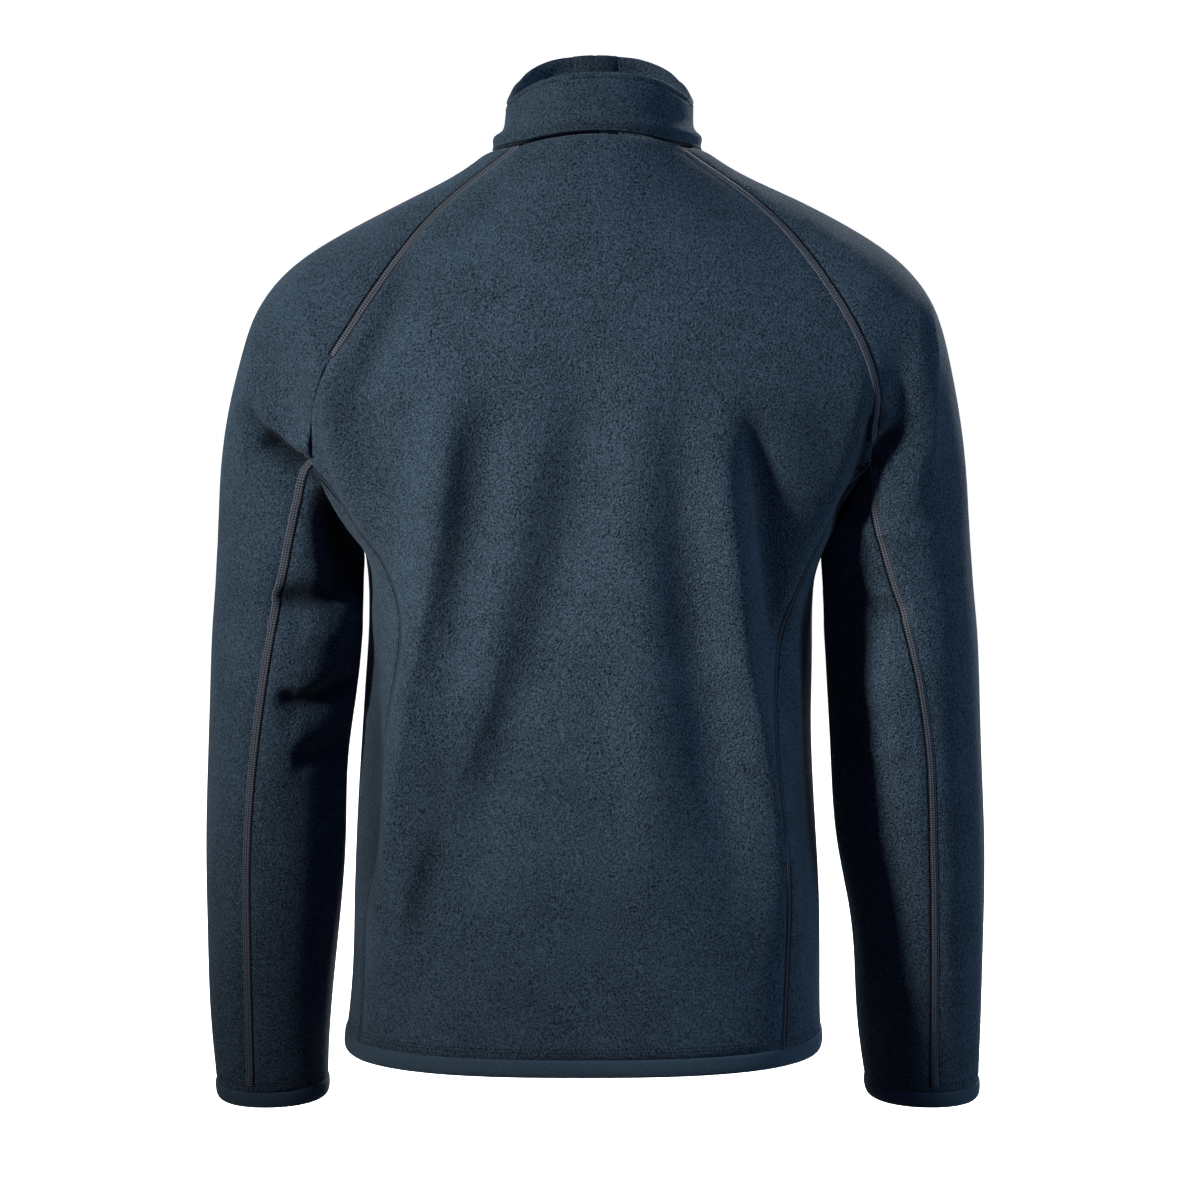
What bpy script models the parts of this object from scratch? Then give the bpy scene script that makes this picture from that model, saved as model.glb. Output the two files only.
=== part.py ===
"""A fleece zip jacket, filled out as if worn, with nothing inside.

Metres, +Z up. The front faces -Y and the wearer's left is +X. The origin is the middle of the
neck opening at shoulder height, where a neck and shoulders would carry the jacket.

The cloth is one skin, worked out ring by ring: rings round the neck widen down to the armpits,
and split there into body rings and sleeve rings. The cut pieces are stretches of that skin,
drawn back from each other at the seams and given the cloth's thickness.
"""

from math import asin, copysign, cos, pi, radians, sin

import bmesh
import bpy
import numpy as np
from mathutils import Matrix, Vector

# ---- driving sizes ----------------------------------------------------------------------------
WALL = 0.0025  # fleece
COLLAR_WALL = 0.0042  # two plies of fleece
SEAM_GAP = 0.0003  # between two pieces that are sewn together
ZIP_HALF = 0.0045  # from the centre front to each front's edge

HEM_Z = -0.694  # bottom of the hem binding
BAND_HEIGHT = 0.014  # hem and cuff bindings
BAND_PROUD = 0.0016  # how far a binding stands out from the cloth above it

SLEEVE_POWER = 2.15  # how square a sleeve's rings are
ARMPIT_IN = 0.043  # how far the underarm line swings in towards the body
ARMPIT_DOWN = 0.088  # and how far it sags

# Rows and columns of the skin's mesh, for each half of the jacket.
YOKE_ROWS = 12
BODY_ROWS = 16
SLEEVE_ROWS = 17
BACK_COLUMNS = 16
ARM_COLUMNS = 12
UNDERARM_COLUMNS = 8
FRONT_COLUMNS = 8

TAPE_CLEAR = 0.0004  # between a front's inner face and the tape behind it
TAPE_THICKNESS = 0.0008
TAPE_INNER = 0.0018  # the tapes' inner and outer edges, from the centre front
TAPE_OUTER = 0.0155

GUARD_CLEAR = 0.0024  # between the tapes and the guard behind them, for the slider's inner plate
GUARD_WALL = 0.0022
GUARD_HALF = 0.0175  # half the guard's width

SLIDER_WIDTH = 0.0078
SLIDER_LENGTH = 0.0125
SLIDER_PLATE = 0.0018  # the outer plate's thickness, and its middle's height above the tapes
SLIDER_PLATE_OUT = 0.0025
SLIDER_INNER_PLATE = 0.0012  # the inner plate's thickness, and its middle's depth
SLIDER_INNER_IN = 0.0022
SLIDER_POST = (2 * TAPE_INNER - 0.0008, 0.0050, 0.0044)  # between the plates and the tapes
SLIDER_POST_UP = 0.0028
RING_RADIUS = 0.0027  # the slider's ring, which the pull tab's bar passes through
RING_WIRE = 0.0006
SLIDER_PLACE = 0.9  # its share of the way up the collar's last but one row

PULL_AXIS_OUT = 0.0061  # from the tape's face to the pull tab's axis
PULL_WIDTH = 0.0066
PULL_LENGTH = 0.0270
PULL_THICKNESS = 0.0014
PULL_BAR = 0.0013  # the height of the bar above the window
PULL_WINDOW = (0.0030, 0.0038)

ZIP_BOX = (2 * ZIP_HALF - 0.0012, 0.0034, 0.0128)
ZIP_BOX_UP = 0.0008  # from the hem's bottom to the box's

NAVY = (0.018, 0.034, 0.058)
BINDING_NAVY = (0.022, 0.040, 0.066)
TAPE_NAVY = (0.010, 0.016, 0.028)
GUNMETAL = (0.09, 0.10, 0.12)

LEFT, RIGHT = 1, -1
SIDE_NAME = {LEFT: "left", RIGHT: "right"}


# ---- tables: a row for each section or fold, a named curve for each column --------------------
def table(columns, *rows):
    """The table's columns by name."""
    return {name: [row[i] for row in rows] for i, name in enumerate(columns.split())}


# Rings from the neck seam (v = 0) to the armpits (v = 1). "seam" is the back raglan seam, "top"
# the shoulder's and arm's outermost line, "fseam" the front raglan seam. "bend" is 0 where the
# stretch over the shoulder is a shallow arch and 1 where it is half an ellipse. "sway" and
# "top_sway" are how far the seams and the arms hang to the wearer's left of a symmetric jacket.
YOKE = table(
    "v back_y back_z seam_x seam_y seam_z top_x top_z fseam_x fseam_y fseam_z front_y front_z bend sway top_sway",
    (0.000, 0.075, 0.018, 0.057, 0.052, 0.008, 0.0805, -0.003, 0.050, -0.054, -0.012, -0.072, -0.026, 0.0, -0.0015, -0.0015),
    (0.125, 0.089, -0.010, 0.083, 0.046, -0.012, 0.1050, -0.024, 0.072, -0.062, -0.030, -0.088, -0.052, 0.3, -0.003, -0.003),
    (0.250, 0.103, -0.042, 0.115, 0.048, -0.033, 0.1460, -0.041, 0.096, -0.074, -0.054, -0.103, -0.080, 0.6, -0.005, -0.0065),
    (0.375, 0.115, -0.075, 0.141, 0.069, -0.061, 0.1895, -0.063, 0.120, -0.086, -0.083, -0.114, -0.110, 0.9, -0.007, -0.0055),
    (0.500, 0.124, -0.108, 0.166, 0.089, -0.096, 0.2340, -0.086, 0.143, -0.096, -0.112, -0.122, -0.140, 1.0, -0.007, -0.003),
    (0.625, 0.130, -0.141, 0.188, 0.097, -0.130, 0.2590, -0.118, 0.165, -0.100, -0.142, -0.127, -0.168, 1.0, -0.006, -0.001),
    (0.750, 0.134, -0.174, 0.203, 0.094, -0.157, 0.2730, -0.156, 0.186, -0.096, -0.172, -0.129, -0.194, 1.0, -0.004, 0.001),
    (0.875, 0.135, -0.206, 0.209, 0.083, -0.182, 0.2835, -0.197, 0.203, -0.083, -0.190, -0.130, -0.220, 1.0, -0.001, 0.0015),
    (1.000, 0.135, -0.238, 0.214, 0.066, -0.205, 0.2910, -0.240, 0.214, -0.064, -0.212, -0.129, -0.246, 1.0, 0.001, 0.0015),
)

# Level rings of the body. "power" squares the oval, "seam_left" and "seam_right" are the side
# seams, set on the back.
BODY = table(
    "z half_width back_y front_y power seam_left seam_right sway",
    (-0.225, 0.2250, 0.135, 0.129, 2.6, 0.219, 0.219, 0.0010),
    (-0.250, 0.2115, 0.135, 0.129, 2.6, 0.205, 0.205, 0.0010),
    (-0.268, 0.1990, 0.134, 0.129, 2.6, 0.189, 0.189, 0.0010),
    (-0.285, 0.1885, 0.134, 0.129, 2.6, 0.175, 0.177, 0.0010),
    (-0.309, 0.1770, 0.133, 0.128, 2.6, 0.152, 0.161, 0.0010),
    (-0.330, 0.1730, 0.132, 0.128, 2.6, 0.134, 0.156, 0.0010),
    (-0.350, 0.1725, 0.131, 0.128, 2.6, 0.128, 0.150, 0.0015),
    (-0.390, 0.1730, 0.129, 0.127, 2.6, 0.137, 0.139, 0.0040),
    (-0.430, 0.1725, 0.128, 0.127, 2.6, 0.146, 0.134, 0.0060),
    (-0.487, 0.1755, 0.127, 0.126, 2.6, 0.154, 0.138, 0.0068),
    (-0.565, 0.1795, 0.127, 0.125, 2.6, 0.164, 0.148, 0.0062),
    (-0.627, 0.1805, 0.128, 0.124, 2.6, 0.170, 0.151, 0.0062),
    (-0.697, 0.1835, 0.129, 0.123, 2.6, 0.172, 0.152, 0.0095),
)

# Rings of the two sleeves, by the height of their middle: the left sleeve's middle and half
# width, then the right one's. "tilt_out" and "tilt_back" are the slopes of the ring's plane,
# "seam" the back seam's place as a share of the half width, and "front" the angle of the column
# that runs down from the front raglan seam's end.
SLEEVE = table(
    "z left_x left_half right_x right_half y half_depth tilt_out tilt_back seam front",
    (-0.262, 0.2375, 0.0550, 0.2375, 0.0550, 0.002, 0.067, 0.36, 0.00, -0.30, 202),
    (-0.300, 0.2350, 0.0585, 0.2345, 0.0595, 0.002, 0.069, 0.25, -0.01, -0.14, 210),
    (-0.348, 0.2347, 0.0605, 0.2337, 0.0615, 0.001, 0.070, 0.12, -0.02, 0.10, 222),
    (-0.410, 0.2378, 0.0592, 0.2362, 0.0608, -0.003, 0.069, 0.04, -0.05, 0.24, 233),
    (-0.474, 0.2443, 0.0553, 0.2392, 0.0602, -0.008, 0.066, 0.00, -0.08, 0.33, 235),
    (-0.538, 0.2458, 0.0567, 0.2428, 0.0606, -0.016, 0.062, -0.02, -0.10, 0.36, 235),
    (-0.604, 0.2487, 0.0535, 0.2503, 0.0528, -0.026, 0.056, -0.03, -0.12, 0.34, 235),
    (-0.669, 0.2522, 0.0498, 0.2511, 0.0515, -0.036, 0.047, -0.03, -0.14, 0.33, 235),
    (-0.702, 0.2528, 0.0480, 0.2523, 0.0508, -0.041, 0.041, -0.03, -0.15, 0.33, 235),
    (-0.719, 0.2521, 0.0452, 0.2538, 0.0466, -0.043, 0.037, -0.03, -0.15, 0.34, 235),
    (-0.731, 0.2516, 0.0442, 0.2546, 0.0452, -0.044, 0.036, -0.03, -0.15, 0.35, 235),
)

# The collar's rings from the neck seam (t = 0) to the folded top edge (t = 1).
COLLAR = table(
    "t back_y back_z side_x side_y side_z front_y front_z sway",
    (0.00, 0.0750, 0.018, 0.0820, 0.000, -0.002, -0.072, -0.026, -0.0015),
    (0.18, 0.0745, 0.027, 0.0765, -0.001, 0.004, -0.074, -0.010, -0.002),
    (0.50, 0.0770, 0.041, 0.0725, -0.001, 0.015, -0.078, 0.020, -0.003),
    (0.80, 0.0755, 0.054, 0.0715, -0.001, 0.027, -0.080, 0.047, -0.0035),
    (1.00, 0.0720, 0.063, 0.0710, -0.001, 0.034, -0.080, 0.0635, -0.004),
)
COLLAR_SADDLE = 0.3  # how round the rings are where the raised back meets the raised front
COLLAR_POWER = 2.25  # how square they are, seen from above
COLLAR_ROWS = 5

# Folds: soft ridges (height > 0) and troughs (height < 0) along a bent line from "top" over
# "mid" to "end", pressed into the back, the fronts, or one sleeve's back or front.
FOLDS = table(
    "where top_x top_z mid_x mid_z end_x end_z width height",
    # the two long ridges that hang from the shoulder blades, and the valleys beside them
    ("back", 0.104, -0.150, 0.131, -0.375, 0.170, -0.675, 0.018, 0.014),
    ("back", 0.083, -0.150, 0.088, -0.270, 0.114, -0.385, 0.016, -0.010),
    ("back", -0.092, -0.165, -0.113, -0.380, -0.156, -0.655, 0.017, 0.013),
    ("back", -0.114, -0.170, -0.134, -0.295, -0.145, -0.425, 0.015, -0.011),
    # the back's broad undulations
    ("back", 0.034, -0.150, 0.067, -0.330, 0.130, -0.510, 0.018, 0.006),
    ("back", -0.002, -0.120, 0.042, -0.350, 0.136, -0.640, 0.024, -0.008),
    ("back", -0.042, -0.120, -0.036, -0.350, -0.052, -0.620, 0.026, 0.009),
    ("back", -0.060, -0.150, -0.073, -0.345, -0.122, -0.610, 0.018, -0.007),
    # the cloth that hangs over each armpit, and the creases inside the raglan seams
    ("back", 0.196, -0.140, 0.207, -0.225, 0.180, -0.330, 0.019, 0.012),
    ("back", -0.192, -0.150, -0.206, -0.225, -0.182, -0.320, 0.019, 0.008),
    ("back", 0.152, -0.090, 0.165, -0.130, 0.176, -0.175, 0.014, -0.006),
    # the fronts, with softer folds of the same kind
    ("front", 0.108, -0.190, 0.114, -0.330, 0.142, -0.620, 0.023, 0.010),
    ("front", 0.078, -0.220, 0.082, -0.340, 0.104, -0.530, 0.024, -0.008),
    ("front", -0.100, -0.180, -0.112, -0.340, -0.134, -0.640, 0.023, 0.010),
    ("front", -0.072, -0.210, -0.076, -0.330, -0.096, -0.510, 0.024, -0.008),
    ("front", 0.178, -0.180, 0.192, -0.240, 0.172, -0.330, 0.020, 0.008),
    ("front", -0.176, -0.170, -0.190, -0.240, -0.172, -0.320, 0.020, 0.007),
    # under the arm's back, beside the raglan seam
    ("left", 0.236, -0.140, 0.240, -0.195, 0.226, -0.245, 0.014, -0.009),
    ("right", -0.232, -0.110, -0.234, -0.180, -0.224, -0.245, 0.013, -0.009),
    # creases across the inside of each elbow, and the one below the shoulder's end
    ("left", 0.252, -0.214, 0.234, -0.224, 0.214, -0.240, 0.013, -0.005),
    ("left", 0.244, -0.356, 0.220, -0.350, 0.198, -0.346, 0.013, -0.008),
    ("left", 0.240, -0.390, 0.212, -0.392, 0.186, -0.372, 0.015, 0.008),
    ("left", 0.244, -0.428, 0.213, -0.432, 0.186, -0.402, 0.014, -0.009),
    ("left", 0.242, -0.484, 0.213, -0.468, 0.188, -0.444, 0.015, -0.006),
    ("right", -0.254, -0.130, -0.259, -0.180, -0.257, -0.240, 0.013, 0.006),
    ("right", -0.232, -0.372, -0.208, -0.378, -0.184, -0.388, 0.016, -0.008),
    ("right", -0.238, -0.436, -0.212, -0.440, -0.184, -0.446, 0.016, -0.008),
    ("right", -0.236, -0.404, -0.212, -0.408, -0.184, -0.416, 0.016, 0.007),
    ("left front", 0.262, -0.380, 0.228, -0.372, 0.196, -0.360, 0.017, -0.008),
    ("left front", 0.262, -0.440, 0.230, -0.424, 0.196, -0.402, 0.017, -0.008),
    ("left front", 0.262, -0.410, 0.230, -0.398, 0.196, -0.381, 0.016, 0.006),
    ("right front", -0.262, -0.372, -0.228, -0.366, -0.196, -0.366, 0.017, -0.008),
    ("right front", -0.262, -0.432, -0.230, -0.424, -0.196, -0.414, 0.017, -0.008),
    ("right front", -0.262, -0.402, -0.230, -0.395, -0.196, -0.390, 0.016, 0.006),
)


def curve_value(stations, values, at):
    """The value at one station of a smooth curve through a table's column."""
    stations, values = np.array(stations, float), np.array(values, float)
    slopes = np.gradient(values, stations)
    i = int(np.clip(np.searchsorted(stations, at) - 1, 0, len(stations) - 2))
    span = stations[i + 1] - stations[i]
    t = np.clip((at - stations[i]) / span, 0, 1)
    return float(
        values[i] * (2 * t**3 - 3 * t**2 + 1)
        + slopes[i] * span * (t**3 - 2 * t**2 + t)
        + values[i + 1] * (3 * t**2 - 2 * t**3)
        + slopes[i + 1] * span * (t**3 - t**2)
    )


class Section:
    """One section of a table, with each column's value at that station."""

    def __init__(self, source, at):
        key, *columns = source
        stations = source[key]
        order = np.argsort(stations)
        for name in columns:
            value = curve_value(np.array(stations)[order], np.array(source[name])[order], at)
            setattr(self, name, value)


def mix(a, b, share):
    return a + (b - a) * share


def ease(x):
    """0 below 0, 1 above 1, smooth between."""
    x = min(max(x, 0.0), 1.0)
    return x * x * (3 - 2 * x)


def spaced(points, first, last, count):
    """count + 1 places at even distances along a dense line, from one of its points to another."""
    line = np.array(points[first : last + 1])
    steps = np.linalg.norm(np.diff(line, axis=0), axis=1)
    run = np.concatenate([[0], np.cumsum(steps)])
    wanted = np.linspace(0, run[-1], count + 1)
    return [np.array([np.interp(w, run, line[:, k]) for k in range(3)]) for w in wanted]


# ---- the skin's rings -------------------------------------------------------------------------
def yoke_ring(side, v):
    """Half a ring between neck and armpits, from the centre back over the arm to the front edge."""
    s = Section(YOKE, v)
    seam = np.array([s.seam_x, s.seam_y, s.seam_z])
    front_seam = np.array([s.fseam_x, s.fseam_y, s.fseam_z])
    flatness = mix(2.2, 3.0, v)

    points = []
    for i in range(BACK_COLUMNS):
        share = i / BACK_COLUMNS
        y = mix(s.back_y, seam[1], share**flatness)
        points.append([seam[0] * share, y, mix(s.back_z, seam[2], share**2)])

    rise = np.array([s.top_x, 0, s.top_z]) - (seam + front_seam) / 2
    rise[0] += side * (s.top_sway - s.sway)
    rise[1] = 0
    for i in range(ARM_COLUMNS):
        share = i / ARM_COLUMNS
        base = mix(share, (1 - cos(pi * share)) / 2, s.bend)
        height = mix(4 * share * (1 - share), sin(pi * share), s.bend)
        points.append(mix(seam, front_seam, base) + rise * height)

    for i in range(FRONT_COLUMNS, -1, -1):
        share = i / FRONT_COLUMNS
        x = mix(ZIP_HALF, front_seam[0], share)
        y = mix(s.front_y, front_seam[1], share**flatness)
        points.append([x, y, mix(s.front_z, front_seam[2], share**2)])

    return swayed(points, side, s.sway)


def swayed(points, side, sway):
    """Half a ring put on its side of the jacket and moved by its sway, but not at the zip."""
    last = len(points) - 1
    ring = []
    for i, (x, y, z) in enumerate(points):
        held = ease((i - last + FRONT_COLUMNS) / FRONT_COLUMNS)
        ring.append(np.array([side * x + sway * (1 - held), y, z]))
    return ring


def underarm_line(back_end, front_end, side):
    """The line under the arm, from the back raglan seam's end to the front one's."""
    points = []
    for i in range(UNDERARM_COLUMNS + 1):
        share = i / UNDERARM_COLUMNS
        base = mix(back_end, front_end, (1 - cos(pi * share)) / 2)
        sag = np.array([-side * ARMPIT_IN, 0, -ARMPIT_DOWN]) * sin(pi * share)
        points.append(base + sag)
    return points


def oval(angle, half_x, half_y, power):
    """A point of a squared oval. The angle runs from +Y over +X."""
    x = copysign(abs(sin(angle)) ** (2 / power), sin(angle)) * half_x
    y = copysign(abs(cos(angle)) ** (2 / power), cos(angle)) * half_y
    return x, y


def body_ring(side, z):
    """Half a level ring of the body, from the centre back round to the front edge."""
    s = Section(BODY, z)
    middle = (s.back_y - s.front_y) / 2
    half_depth = (s.back_y + s.front_y) / 2
    dense = []
    for angle in np.linspace(0, pi, 241):
        x, y = oval(angle, s.half_width, half_depth, s.power)
        dense.append([x, middle + y, z])
    seam_x = s.seam_left if side == LEFT else s.seam_right
    seam = max(i for i, p in enumerate(dense) if p[1] > middle and p[0] <= seam_x)
    edge = min(i for i, p in enumerate(dense) if p[1] < middle and p[0] <= ZIP_HALF)
    back = spaced(dense, 0, seam, BACK_COLUMNS)
    front = spaced(dense, seam, edge, UNDERARM_COLUMNS + FRONT_COLUMNS)
    ring = swayed(back[:-1] + front, side, s.sway)
    ring[-1][0] = side * ZIP_HALF
    return ring


def sleeve_ring(side, z):
    """A closed ring of a sleeve, from its back seam out round the arm and back inside it."""
    s = Section(SLEEVE, z)
    middle, half_width = (s.left_x, s.left_half) if side == LEFT else (s.right_x, s.right_half)
    start = asin(s.seam)
    turn = radians(s.front)
    dense = []
    for angle in np.linspace(start, start + 2 * pi, 481):
        x, y = oval(angle, half_width, s.half_depth, SLEEVE_POWER)
        height = z + s.tilt_out * x + s.tilt_back * y
        dense.append([side * (middle + x), s.y + y, height])
    corner = int(round((turn - start) / (2 * pi) * 480))
    outside = spaced(dense, 0, corner, ARM_COLUMNS)
    inside = spaced(dense, corner, 480, UNDERARM_COLUMNS)
    return outside[:-1] + inside[:-1]


def fade(row, rows, reach):
    """1 on the first row, easing to 0 over a share of the rows."""
    return 1 - ease(row / (rows * reach))


# ---- the skin ---------------------------------------------------------------------------------
class Skin:
    """The whole jacket's outer surface as one mesh, with the piece that each face belongs to."""

    def __init__(self):
        self.mesh = bmesh.new()
        self.piece = self.mesh.faces.layers.string.new("piece")
        self.zone = self.mesh.verts.layers.int.new("zone")
        self.neck, self.hem, self.cuff = {}, {}, {}
        self.above_hem, self.above_cuff = {}, {}
        self.front_edge, self.front_next = {}, {}
        centre = {}
        for side in (LEFT, RIGHT):
            yoke = self.add_yoke(side, centre)
            body = self.add_body(side, yoke, centre)
            sleeve = self.add_sleeve(side, yoke)
            self.neck[side] = yoke[0]
            self.hem[side], self.above_hem[side] = body[-1], body[-2]
            self.cuff[side], self.above_cuff[side] = sleeve[-1], sleeve[-2]
            self.front_edge[side] = [row[-1] for row in yoke + body[1:]]
            self.front_next[side] = [row[-2] for row in yoke + body[1:]]

    def vert(self, point, zone, key=None, shared=None):
        if shared is not None and key in shared:
            return shared[key]
        v = self.mesh.verts.new(point)
        v[self.zone] = zone
        if shared is not None:
            shared[key] = v
        return v

    def add_yoke(self, side, centre):
        rows = []
        for r in range(YOKE_ROWS + 1):
            ring = yoke_ring(side, r / YOKE_ROWS)
            row = [self.vert(ring[0], 0, ("yoke", r), centre)]
            for c, point in enumerate(ring[1:], 1):
                on_arm = BACK_COLUMNS < c < BACK_COLUMNS + ARM_COLUMNS
                row.append(self.vert(point, side if on_arm else 0))
            rows.append(row)
        for c in range(len(rows[0]) - 1):
            if c < BACK_COLUMNS:
                piece = "back"
            elif c < BACK_COLUMNS + ARM_COLUMNS:
                piece = "sleeve_" + SIDE_NAME[side]
            else:
                piece = "front_" + SIDE_NAME[side]
            self.strip(rows, c, c + 1, side, piece)
        return rows

    def add_body(self, side, yoke, centre):
        split = yoke[-1]
        back_end, front_end = split[BACK_COLUMNS], split[BACK_COLUMNS + ARM_COLUMNS]
        line = underarm_line(np.array(back_end.co), np.array(front_end.co), side)
        self.underarm = [back_end] + [self.vert(p, 0) for p in line[1:-1]] + [front_end]
        first = split[:BACK_COLUMNS] + self.underarm + split[BACK_COLUMNS + ARM_COLUMNS + 1 :]
        start = [np.array(v.co) for v in first]
        bottom = HEM_Z + BAND_HEIGHT + SEAM_GAP
        away = []
        for c, point in enumerate(start):
            away.append(point - body_ring(side, point[2])[c])
        rows = [first]
        for k in range(1, BODY_ROWS + 1):
            share = k / BODY_ROWS
            row = []
            for c, point in enumerate(start):
                z = mix(point[2], bottom, share)
                place = body_ring(side, z)[c] + away[c] * fade(k, BODY_ROWS, 0.3)
                if c == len(start) - 1:
                    place[0] = side * ZIP_HALF
                if c == 0:
                    row.append(self.vert(place, 0, ("body", k), centre))
                else:
                    row.append(self.vert(place, 0))
            rows.append(row)
        for c in range(len(first) - 1):
            piece = "back" if c < BACK_COLUMNS else "front_" + SIDE_NAME[side]
            self.strip(rows, c, c + 1, side, piece)
        return rows

    def add_sleeve(self, side, yoke):
        split = yoke[-1][BACK_COLUMNS : BACK_COLUMNS + ARM_COLUMNS]
        first = split + self.underarm[:0:-1]
        start = [np.array(v.co) for v in first]
        levels = np.linspace(SLEEVE["z"][0], SLEEVE["z"][-1], SLEEVE_ROWS + 1)
        away = [point - place for point, place in zip(start, sleeve_ring(side, levels[0]))]
        rows = [first]
        for k in range(1, SLEEVE_ROWS + 1):
            ring = sleeve_ring(side, levels[k])
            row = [place + away[c] * fade(k, SLEEVE_ROWS, 0.3) for c, place in enumerate(ring)]
            rows.append([self.vert(point, side) for point in row])
        for c in range(len(first)):
            self.strip(rows, c, (c + 1) % len(first), side, "sleeve_" + SIDE_NAME[side])
        return rows

    def strip(self, rows, c, d, side, piece):
        """A column of faces between two columns of points, facing out."""
        for upper, lower in zip(rows, rows[1:]):
            corners = [upper[c], upper[d], lower[d], lower[c]]
            if side == RIGHT:
                corners.reverse()
            face = self.mesh.faces.new(corners)
            face[self.piece] = piece.encode()

    def soften(self):
        """Evens out the skin, most of all round the armpits, where the rings part."""
        inner = [v for v in self.mesh.verts if not v.is_boundary]
        for _ in range(2):
            self.smooth(inner, 0.5)
        armpit = Vector((0.2, 0, -0.25))
        near = [v for v in inner if (Vector((abs(v.co.x), v.co.y, v.co.z)) - armpit).length < 0.13]
        for _ in range(4):
            self.smooth(near, 0.5)

    def smooth(self, verts, factor):
        bmesh.ops.smooth_vert(
            self.mesh, verts=verts, factor=factor, use_axis_x=True, use_axis_y=True, use_axis_z=True
        )

    def press_folds(self):
        """Moves the skin's points in or out along its folds, and rounds the folds off."""
        self.mesh.normal_update()
        moves = {}
        for i, where in enumerate(FOLDS["where"]):
            row = {name: FOLDS[name][i] for name in FOLDS}
            line = fold_line(row)
            for v in self.mesh.verts:
                reach = fold_reach(v.normal, v[self.zone], where)
                if reach > 0:
                    height = fold_height(v.co, line, row) * reach
                    moves[v] = moves.get(v, 0) + height
        for v, height in moves.items():
            v.co += v.normal * height
        self.smooth([v for v in self.mesh.verts if not v.is_boundary], 0.35)
        self.mesh.normal_update()


def fold_line(row):
    """A fold's line in the XZ plane, as closely set points."""
    top, mid, end = (np.array([row[k + "_x"], row[k + "_z"]]) for k in ("top", "mid", "end"))
    bend = 2 * mid - (top + end) / 2
    return [(1 - t) ** 2 * top + 2 * t * (1 - t) * bend + t**2 * end for t in np.linspace(0, 1, 33)]


def fold_reach(normal, zone, where):
    """How much of a fold a point takes, by the way it faces and the piece it is on."""
    wanted = {"left": LEFT, "right": RIGHT}.get(where.split()[0], 0)
    if zone != wanted:
        return 0
    return ease((-normal.y if where.endswith("front") else normal.y) / 0.4)


def fold_height(point, line, row):
    """The height of a fold at a point: a bell across its line, dying away at both ends."""
    gaps = [np.hypot(point.x - p[0], point.z - p[1]) for p in line]
    nearest = int(np.argmin(gaps))
    share = nearest / (len(line) - 1)
    ends = ease(share / 0.25) * ease((1 - share) / 0.3)
    return row["height"] * np.exp(-((gaps[nearest] / row["width"]) ** 2)) * ends


# ---- cut pieces -------------------------------------------------------------------------------
def border_shift(vert, edges, centre_of):
    """A border point's step into its piece, so that both edges it joins draw back equally."""
    sides = []
    for edge in edges:
        along = (edge.other_vert(vert).co - vert.co).normalized()
        inward = vert.normal.cross(along)
        inside = centre_of[edge] - (edge.verts[0].co + edge.verts[1].co) / 2
        if inward.dot(inside) < 0:
            inward.negate()
        sides.append(inward.normalized())
    if len(sides) != 2:
        return Vector((0, 0, 0))
    total = sides[0] + sides[1]
    return total / max(1 + sides[0].dot(sides[1]), 0.3) * (SEAM_GAP / 2)


def walled(faces, wall):
    """A closed wall on the inside of a stretch of skin: outer face, inner face and rim."""
    inside = set(faces)
    border, centre_of = {}, {}
    for face in faces:
        for edge in face.edges:
            if sum(f in inside for f in edge.link_faces) == 1:
                centre_of[edge] = face.calc_center_median()
                for vert in edge.verts:
                    border.setdefault(vert, []).append(edge)
    verts = {v for face in faces for v in face.verts}
    bm = bmesh.new()
    outer, inner = {}, {}
    for v in sorted(verts, key=lambda v: v.index):
        edges = list(dict.fromkeys(border.get(v, [])))
        place = v.co + (border_shift(v, edges, centre_of) if edges else Vector((0, 0, 0)))
        outer[v] = bm.verts.new(place)
        inner[v] = bm.verts.new(place - v.normal * wall)
    for face in faces:
        for corners in halves(face):
            bm.faces.new([outer[v] for v in corners])
            bm.faces.new([inner[v] for v in reversed(corners)])
        for loop in face.loops:
            if loop.edge in centre_of:
                a, b = loop.vert, loop.link_loop_next.vert
                bm.faces.new([outer[b], outer[a], inner[a], inner[b]])
    return bm


def halves(face):
    """A four-sided face as two triangles, parted along its shorter diagonal."""
    a, b, c, d = face.verts
    if (a.co - c.co).length <= (b.co - d.co).length:
        return (a, b, c), (a, c, d)
    return (b, c, d), (b, d, a)


def cloth_material(name, colour, roughness=0.95):
    material = bpy.data.materials.new(name)
    material.use_nodes = True
    shader = material.node_tree.nodes["Principled BSDF"]
    shader.inputs["Base Color"].default_value = (*colour, 1)
    shader.inputs["Roughness"].default_value = roughness
    shader.inputs["Metallic"].default_value = 0
    return material


def finish(bm, name, material, collection, sharp=50):
    """A named object from a mesh in the making."""
    mesh = bpy.data.meshes.new(name)
    bm.to_mesh(mesh)
    bm.free()
    mesh.materials.append(material)
    mesh.shade_smooth()
    mesh.set_sharp_from_angle(angle=radians(sharp))
    obj = bpy.data.objects.new(name, mesh)
    collection.objects.link(obj)
    return obj


def make_panels(skin, collection):
    """Back, fronts and sleeves."""
    pieces = {}
    skin.mesh.verts.index_update()
    for face in skin.mesh.faces:
        pieces.setdefault(face[skin.piece].decode(), []).append(face)
    for name, faces in pieces.items():
        material = cloth_material(name + "_fleece", NAVY)
        finish(walled(faces, WALL), name, material, collection)


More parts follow.
